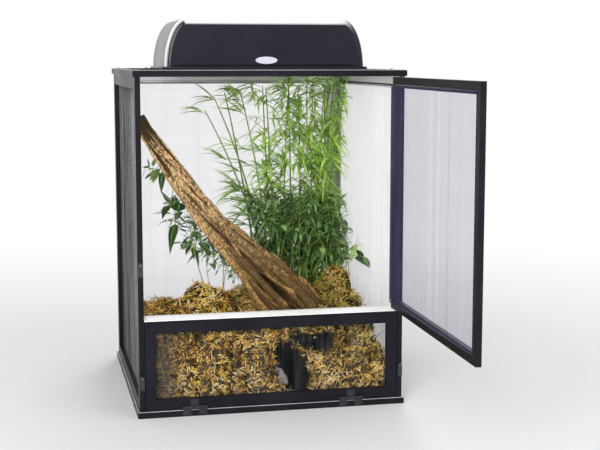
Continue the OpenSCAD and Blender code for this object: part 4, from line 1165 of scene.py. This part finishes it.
def bamboo(stem_material, leaf_material):
    """Slender canes, swollen at each joint, with sprays of narrow leaves at golden-angle turns."""
    rng = np.random.default_rng(8)
    facts = np.array(CANES, float)
    stations = 61
    line = cane_lines(facts, rng, stations)
    joint = np.where(np.arange(stations) % 5 == 0, 1.25, 1.0)
    width = np.tile(2.1 * MM * (1 - 0.62 * np.linspace(0, 1, stations)) * joint, (len(facts), 1))
    sideways = np.tile([1.0, 0, 0], (len(facts), 1))
    tint = rng.random(len(facts))
    shoots("bamboo_canes", line, sideways, width, 8, tint, stem_material, "bamboo", ("bamboo_plant",))
    cane = np.repeat(np.arange(len(facts)), facts[:, 5].astype(int))
    number = len(cane)
    share = rng.uniform(0.1, 1.0, number) ** 1.5
    share[np.searchsorted(cane, np.arange(len(facts)))] = 0.97
    base = line[cane, np.minimum((share * (stations - 1)).astype(int), stations - 1)]
    angle = np.arange(number) * GOLDEN + rng.normal(0, 0.4, number)
    reach = rng.uniform(12, 34, number) * MM
    twigs, twig = sprays(base, angle, rng.uniform(0.2, 1.3, number), reach)
    thin = np.full(twigs.shape[:2], THIN_STALK)
    sideways = twig[:, [1, 0, 2]] * [1, -1, 0]
    shoots("bamboo_twigs", twigs, sideways, thin, 3, rng.random(number), stem_material, "bamboo")
    spray = np.repeat(np.arange(number), SPRAY_LEAVES)
    leaves = len(spray)
    spot = rng.uniform(0.2, 0.999, leaves) * (twigs.shape[1] - 1)
    at = spot.astype(int)
    part = (spot - at)[:, None]
    start = twigs[spray, at] * (1 - part) + twigs[spray, at + 1] * part
    turn = angle[spray] + rng.normal(0, 0.8, leaves)
    run = np.column_stack([np.cos(turn), np.sin(turn), rng.normal(0.35, 0.55, leaves)])
    loose = (facts[cane, 3] < -7)[spray]
    run = unit(np.where(loose[:, None], 0.5 * run + [-0.8, 0.0, 0.45], run))
    long = sizes().bamboo_leaf * rng.uniform(0.5, 1.1, leaves) * np.where(loose, 1.3, 1.0)
    wide = long * rng.uniform(0.05, 0.08, leaves)
    # Painted light and shade: higher leaves lean to the bright green, lower ones to the shaded green,
    # each with a random part of its own
    high = np.clip((start[:, 2] - 0.22) / 0.16, 0, 1)
    own = rng.normal(0, 0.16, number)[spray] + rng.normal(0, 0.14, leaves)
    blades(
        "bamboo_leaves", start, run, long, wide, rng.uniform(0.1, 0.7, leaves),
        np.clip(0.3 + 0.62 * high + own, 0, 1), leaf_material, "bamboo",
    )


# Clumps of broad leaves: centre right, back and up, half sizes, all in millimetres, number of leaves,
# their share of the full size and of the paler green
CLUMPS = (
    (44, 40, 262, 34, 34, 60, 260, 0.62, 0.0), (96, 50, 250, 40, 38, 66, 340, 0.62, 0.1),
    (148, 60, 236, 34, 40, 62, 280, 0.66, 0.0), (84, 96, 236, 58, 30, 56, 260, 0.6, 0.0),
    (150, 110, 236, 30, 34, 60, 160, 0.6, 0.0), (60, 60, 190, 34, 26, 26, 120, 0.55, 0.1),
    (166, 60, 196, 14, 30, 26, 70, 0.6, 0.1), (-122, 34, 276, 18, 18, 26, 18, 1.2, 0.0),
    (-84, 40, 240, 28, 26, 36, 60, 0.9, 0.2), (-40, 56, 212, 44, 28, 44, 130, 0.5, 0.6),
    (-8, 66, 176, 34, 28, 30, 80, 0.45, 0.7), (-152, 30, 346, 22, 10, 7, 9, 0.9, 0.0),
    (176, -20, 214, 5, 20, 24, 5, 1.5, 0.1),
)


def vines(stem_material, leaf_material):
    """Broad leaves in clumps: places are random in an ellipsoid, denser towards its middle, and each
    leaf points roughly outwards and a little to the front, and droops."""
    rng = np.random.default_rng(17)
    facts = np.array(CLUMPS, float)
    clump = np.repeat(np.arange(len(facts)), facts[:, 6].astype(int))
    number = len(clump)
    ray = unit(rng.normal(size=(number, 3))) * rng.random((number, 1)) ** 0.45
    half = facts[clump, 3:6] * MM
    start = facts[clump, :3] * MM + ray * half
    low = np.where(start[:, 0] > 0.12, 176 * MM, 138 * MM)
    start[:, 2] = np.maximum(start[:, 2], low + rng.uniform(0, 16 * MM, number))
    away = unit(ray * [1, 1, 0.5] + rng.normal(0, 0.9, (number, 3)) + np.array([-0.1, -0.3, 0.1]))
    size = facts[clump, 7] * rng.uniform(0.6, 1.25, number)
    long = sizes().broad_leaf * size
    wide = long * rng.uniform(0.13, 0.33, number)
    # Leaves above 0.31 m get a paler green: painted light
    tint = rng.normal(0.22, 0.34, number) + 0.3 * (start[:, 2] > 0.31) + facts[clump, 8]
    tint = np.clip(tint, 0, 1) ** 2
    droop = rng.uniform(0.0, 0.7, number)
    start = inside(start)
    blades(
        "vine_leaves", start, away, long, wide, droop, tint, leaf_material, "vine", 8, 0.25, 0.6,
        ("vine_plant",),
    )
    reach = 24 * MM * size
    back = -away * reach[:, None] + np.array([0, 0, -0.4]) * reach[:, None]
    stalks = inside(start[:, None] + back[:, None] * np.linspace(0, 1, 7)[None, :, None] ** 1.3)
    thin = np.full(stalks.shape[:2], THIN_STALK)
    sideways = np.cross(away, [0, 0, 1.0]) + 1e-6
    shoots("vine_stalks", stalks, sideways, thin, 3, rng.random(number), stem_material, "vine")
    stems(stem_material, rng, facts)


# Clumps whose stem springs from the driftwood or a mound, and where: right, back and up in millimetres
HELD = {7: (-121, 10, 338), 11: (-150, 14, 380), 12: (150, -24, 180)}


def stems(material, rng, facts):
    """Thin stems from the bark up through each clump, bowed a little. Three clumps hold on to the
    driftwood or a mound instead."""
    clump = np.repeat(np.arange(len(facts)), np.clip(facts[:, 6] / 45, 1, 6).astype(int))
    number, stations = len(clump), 24
    middle, half = facts[clump, :3] * MM, facts[clump, 3:6] * MM
    top = middle + rng.uniform(-0.6, 0.6, (number, 3)) * half + [0, 0, 0.3] * half
    level = middle[:, :2] * 0.92 + rng.normal(0, 14 * MM, (number, 2))
    foot = np.column_stack([level, np.full(number, STEM_FOOT)])
    for held, place in HELD.items():
        foot[clump == held] = np.array(place) * MM
    t = np.linspace(0, 1, stations)[None, :, None]
    tall = np.linalg.norm(top - foot, axis=1)[:, None, None]
    bow = rng.normal(0, 0.11, (number, 1, 3)) * [1, 1, 0] * tall
    line = inside(foot[:, None] + (top - foot)[:, None] * t + bow * np.sin(math.pi * t))
    width = rng.uniform(0.6, 1.2, (number, 1)) * MM * np.linspace(1, 0.4, stations)[None]
    sideways = np.tile([1.0, 0, 0], (number, 1))
    shoots("vine_stems", line, sideways, width, 6, rng.random(number), material, "vine")


# ------------------------------------------------------------------ operators


class Piece:
    """What the operators share: each makes its pieces and raises an error if it can't."""

    bl_options = {"REGISTER", "UNDO"}

    def execute(self, context):
        self.build()
        return {"FINISHED"}


class CAGE_OT_bars(Piece, bpy.types.Operator):
    """Finish the cage's and doors' bars, the base and its sheet"""

    bl_idname = "cage.bars"
    bl_label = "Bars and base"

    def build(self):
        finish_bars()
        dress(moulded("base_sheet", (0.02, 0.02, 0.024), 0.8 * MM), "base_panel")
        keys = moulded("corner_key", (0.02, 0.02, 0.02))
        dress(keys, "cage_corner_keys", "upper_door_corner_keys", "lower_door_corner_keys")
        strip = Finish("sill_strip")
        wear_and_highlight = strip.noise(8 * MM, 4.0)
        dull = strip.limits(wear_and_highlight, 0.6, 0.8, 0.0, 0.3)
        shade = strip.mix(dull, list(colours().sill), (0.62, 0.6, 0.56))
        dress(strip.done(Base_Color=shade, Roughness=0.3), "sill_strip")


class CAGE_OT_cloths(Piece, bpy.types.Operator):
    """Weave the wire cloth of every panel"""

    bl_idname = "cage.cloths"
    bl_label = "Woven cloths"

    def build(self):
        # The cloths' inner colours, lighter or darker per panel, are painted light that stands in for
        # the lit inside
        white = wire_finish("white_wire", list(colours().white_wire))
        lavender = wire_finish("lavender_wire", list(colours().lavender_wire))
        pale = wire_finish("back_wire", list(colours().back_wire))
        others = {"back": pale, "top": pale, "upper_door": lavender}
        for name in PANELS:
            woven_cloth(name, others.get(name, white))


class CAGE_OT_cords(Piece, bpy.types.Operator):
    """Lay the ribbed spline cords in the bars' grooves"""

    bl_idname = "cage.cords"
    bl_label = "Spline cords"

    def build(self):
        black = moulded("spline_cord", (0.02, 0.02, 0.022), 0.4 * MM, 0.5)
        # The back's pale cord is painted light, like the pale inner faces of the back's bars
        pale = moulded("pale_spline_cord", (0.9, 0.9, 0.93), 0.4 * MM, 0.5)
        for name in PANELS:
            spline_cord(name, pale if name == "back" else black)


class CAGE_OT_fittings(Piece, bpy.types.Operator):
    """Finish the hinges, screws and turn latches"""

    bl_idname = "cage.fittings"
    bl_label = "Hinges, screws and latches"

    def build(self):
        hinge = black_bar("hinge", (0.03, 0.03, 0.034))
        dress(hinge, "fixed_hinge_leaves", "upper_door_hinge_leaves", "lower_door_hinge_leaves")
        dress(bright_metal("screw", (0.16, 0.16, 0.17), rough=0.3), "frame_screws")
        latches = ("upper_latch", "lower_latch_left", "lower_latch_right")
        dress(moulded("latch", (0.014, 0.014, 0.018), 0.4 * MM, 0.38), *latches)
        soften(0.6 * MM, *latches)


class CAGE_OT_hood(Piece, bpy.types.Operator):
    """Press the hood's cover with its shoulders, rim, plate, reflector, lamps and switch"""

    bl_idname = "cage.hood"
    bl_label = "Lamp hood"

    def build(self):
        paint = enamel("hood_enamel", list(colours().hood))
        centre, half_width, half_depth, foot = hood_cover(paint)
        rounded_frame(
            "hood_rim", (centre[0], centre[1], foot), (half_width, half_depth),
            ((1, 0, 0), (0, 1, 0), (0, 0, 1)), rounded_section(HOOD_RIM, HOOD_RIM, 1 * MM), paint,
            "hood_enamel", 0.5 * MM,
        )
        low, high = box("rocker_switch")
        middle = (low + high) / 2
        middle[1] = centre[1] + half_depth - 0.1 * MM
        rounded_frame(
            "switch_bezel", middle, (7.1 * MM, 10.1 * MM), ((-1, 0, 0), (0, 0, 1), (0, 1, 0)),
            rounded_section(2.5 * MM, 1.3 * MM, 0.4 * MM), moulded("bezel", (0.02, 0.02, 0.02)),
            "switch", 1.0 * MM,
        )
        dress(bright_metal("hood_plate", list(colours().badge), 0, 0.35), "hood_badge")
        dress(bright_metal("reflector", (0.86, 0.87, 0.88), 0, 0.12), "hood_reflector")
        dress(moulded("lamp_ceramic", (0.8, 0.78, 0.72), 0.6 * MM, 0.6), "lamp_holders")
        dress(moulded("lamp_glass", (0.86, 0.86, 0.84), 0.6 * MM, 0.18), "lamps")
        dress(moulded("gland", (0.02, 0.02, 0.02)), "cord_gland")
        dress(moulded("switch", (0.015, 0.015, 0.015), 0.3 * MM, 0.2), "rocker_switch")
        soften(0.8 * MM, "rocker_switch")


class CAGE_OT_beds(Piece, bpy.types.Operator):
    """Heap the bark bed and the moss, and strew both with loose strands"""

    bl_idname = "cage.beds"
    bl_label = "Bark and moss"

    def build(self):
        bark, moss, olive = (list(c) for c in (colours().bark, colours().moss, colours().olive))
        edge = BED_EDGE
        # The bark bed's warm hue is the moss made 1.45 times brighter: painted light that makes up for
        # the lower door's screen in front
        bed_litter = litter("bark", [c * 1.45 for c in moss], bark, olive, True)
        bed = lump(
            "bark_bed", (-edge, edge, -edge, edge, BED_FOOT),
            lambda x, y: np.full(np.shape(x), BED_TOP), bark_hollows, 3.4 * MM, 3, bed_litter,
            "bark_bedding", ("bedding",), lambda z: edge - soft_step(z, 0.024, BED_TOP) * 34 * MM,
        )
        moss_litter = litter("moss_mat", [c * 1.1 for c in moss], olive, bark)
        mat = lump(
            "moss_mat", (-edge, 157.4 * MM, -edge, edge, 112 * MM), moss_height, None, 2.6 * MM, 9,
            moss_litter, "moss", ("moss",),
        )
        hues = (
            (0.0, (0.012, 0.011, 0.007)), (0.2, (0.07, 0.05, 0.02)), (0.34, olive),
            (0.46, (0.56, 0.26, 0.03)), (0.6, (0.95, 0.55, 0.07)), (0.8, (1.0, 0.71, 0.17)),
            (1.0, (1.0, 0.86, 0.52)),
        )
        loose = strand_finish("loose_strands", hues, 0.1, (0.66, 0.42, 0.42))

        def shown(points, normals):
            open_bark = (bark_hollows(points) < 8 * MM) & (patches(points) > -0.5)
            return (normals[:, 2] > -0.3) & (points[:, 2] < BED_TOP - 2 * MM) & open_bark

        def up(points, normals):
            return (normals[:, 2] > 0.0) & (patches(points) > -0.5)

        grey = moulded("stone", (0.30, 0.26, 0.26), 2 * MM, 0.8)
        stone(np.array([16, -183, 48]) * MM, np.array([8, 6, 15]) * MM, grey)
        on_bark, on_moss = (bed, "bark_bedding", sizes().strands), (mat, "moss", sizes().strands)
        strands("bark_strands", *on_bark, 13 * MM, 0.75 * MM, 51, loose, shown)
        strands("bark_curls", *on_bark, 7 * MM, 1.15 * MM, 61, loose, shown, 0.4, 2.0, 3)
        strands("moss_strands", *on_moss, 12 * MM, 0.7 * MM, 52, loose, up)
        strands("moss_tufts", *on_moss, 6 * MM, 1.0 * MM, 62, loose, up, 0.5, 2.0, 3)


class CAGE_OT_wood(Piece, bpy.types.Operator):
    """Carve the driftwood and its winding roots"""

    bl_idname = "cage.wood"
    bl_label = "Driftwood"

    def build(self):
        driftwood(wood_finish())


class CAGE_OT_plants(Piece, bpy.types.Operator):
    """Grow the bamboo and the broad-leaved vines"""

    bl_idname = "cage.plants"
    bl_label = "Bamboo and vines"

    def build(self):
        bright, shaded = list(colours().bamboo), list(colours().bamboo_dark)
        vine = list(colours().vine)
        stalk = strand_finish("green_stem", ((0.0, (0.10, 0.2, 0.03)), (1.0, (0.34, 0.42, 0.10))), 0.2)
        bamboo(stalk, leaf_finish("bamboo_leaf", shaded, bright, (0.66, 0.76, 0.20), 0.42))
        vines(stalk, leaf_finish("vine_leaf", vine, (0.32, 0.50, 0.13), (0.16, 0.30, 0.06), 0.36))


class CAGE_OT_stage(Piece, bpy.types.Operator):
    """Set up the pale floor, the soft lights and the camera"""

    bl_idname = "cage.stage"
    bl_label = "Studio"

    def build(self):
        floor()
        lights()
        camera()


# Soft lamps: name, place, power in watts and width; all look at one point of the cage
LAMPS = (
    ("key", (-1.0, -2.5, 1.1), 55, 1.2),
    ("fill", (1.8, -1.8, 1.4), 10, 1.6),
    ("back", (0.7, 2.4, 2.1), 26, 1.0),
)
LAMPS_AIM = (0, 0, 0.28)
# The camera's place, direction and focal length in millimetres
EYE, GAZE, LENS = (-0.360, -2.003, 0.524), (0.215, 0.968, -0.131), 75.5


def floor():
    """A wide disc under the cage: pale and matt near it, fading to plain white further off."""
    circles, sides = 12, 48
    radii = np.geomspace(0.4, 40, circles)[:, None]
    angle = np.arange(sides) * TAU / sides
    spots = np.stack([radii * np.cos(angle), radii * np.sin(angle), np.zeros((circles, sides))], -1)
    vertices = np.concatenate([[[0, 0, 0]], spots.reshape(-1, 3)])
    corner = np.arange(sides)
    after = np.roll(corner, -1)
    row = 1 + np.arange(circles - 1)[:, None] * sides
    quads = np.stack([row + corner, row + sides + corner, row + sides + after, row + after], -1)
    triangles = np.stack([np.zeros(sides, int), 1 + corner, 1 + after], -1)
    finish = Finish("floor")
    ground = bpy.data.meshes.new("floor")
    ground.from_pydata(vertices.tolist(), [], quads.reshape(-1, 4).tolist() + triangles.tolist())
    ground.materials.append(finish.material)
    plane = bpy.data.objects.new("floor", ground)
    bpy.context.scene.collection.objects.link(plane)
    finish.done(Base_Color=(0.88, 0.88, 0.89), Roughness=0.9, Specular_IOR_Level=0.1)
    measure = {"operation": "LENGTH"}
    radius = finish.node("ShaderNodeVectorMath", measure, [finish.place], output="Value")
    path = finish.node("ShaderNodeLightPath", output="Is Camera Ray")
    seen = (path + path.part("Is Glossy Ray") + path.part("Is Transmission Ray")) > 0.5
    white = finish.node("ShaderNodeEmission", {}, {"Color": (1, 1, 1), "Strength": 1.0}, "Emission")
    far = finish.limits(radius, 0.55, 1.6) * seen
    near = Value(finish, finish.shader.outputs[0])
    surface = finish.node("ShaderNodeMixShader", {}, (far, near, white), "Shader")
    finish.feed(finish.tree.nodes["Material Output"].inputs["Surface"], surface)


def lights():
    """Even white surroundings that the camera and reflections see at full white, a soft lamp from the
    left front, a weaker one from the right and one behind that brightens the upper edges."""
    world = bpy.data.worlds.new("surroundings")
    bpy.context.scene.world = world
    nodes = Nodes(world)
    path = nodes.node("ShaderNodeLightPath", output="Is Camera Ray")
    seen = path.math("MAXIMUM", path, path.part("Is Glossy Ray"))
    seen = path.math("MAXIMUM", seen, path.part("Is Transmission Ray"))
    sky = nodes.tree.nodes["Background"]
    nodes.feed(sky.inputs["Strength"], nodes.limits(seen, 0.0, 1.0, 0.55, 1.0))
    nodes.feed(sky.inputs["Color"], (1, 1, 1))
    for name, place, power, width in LAMPS:
        lamp = bpy.data.lights.new(name, "AREA")
        lamp.energy, lamp.size = power, width
        stand(name, lamp, place, Vector(LAMPS_AIM) - Vector(place))


def camera():
    """The camera, as high as the cage's top and left of its middle, looking a little down."""
    lens = bpy.data.cameras.new("camera")
    lens.lens = LENS
    bpy.context.scene.camera = stand("camera", lens, EYE, Vector(GAZE))
    bpy.context.scene.view_settings.view_transform = "Standard"


def stand(name, made, place, direction):
    """Stands a lamp or camera at its place, looking along the direction."""
    thing = bpy.data.objects.new(name, made)
    thing.location = place
    thing.rotation_mode = "QUATERNION"
    thing.rotation_quaternion = direction.to_track_quat("-Z", "Y")
    bpy.context.scene.collection.objects.link(thing)
    return thing


STEPS = (
    CAGE_OT_bars, CAGE_OT_cloths, CAGE_OT_cords, CAGE_OT_fittings, CAGE_OT_hood, CAGE_OT_beds,
    CAGE_OT_wood, CAGE_OT_plants, CAGE_OT_stage,
)


class CAGE_PT_panel(bpy.types.Panel):
    """Lists the cage's pieces, sizes and colours"""

    bl_idname = "CAGE_PT_panel"
    bl_label = "Planted screen cage"
    bl_space_type = "VIEW_3D"
    bl_region_type = "UI"
    bl_category = "Cage"

    def draw(self, context):
        for step in STEPS:
            self.layout.operator(step.bl_idname)
        for group in (context.scene.cage_sizes, context.scene.cage_colours):
            for key in group.__annotations__:
                self.layout.prop(group, key)


CLASSES = (CageSizes, CageColours, *STEPS, CAGE_PT_panel)


def register():
    for kind in CLASSES:
        bpy.utils.register_class(kind)
    bpy.types.Scene.cage_sizes = PointerProperty(type=CageSizes)
    bpy.types.Scene.cage_colours = PointerProperty(type=CageColours)


def unregister():
    del bpy.types.Scene.cage_sizes, bpy.types.Scene.cage_colours
    for kind in reversed(CLASSES):
        bpy.utils.unregister_class(kind)


def main():
    """Runs every step in turn."""
    register()
    for step in STEPS:
        group, name = step.bl_idname.split(".")
        getattr(getattr(bpy.ops, group), name)()


if __name__ == "__main__":
    main()
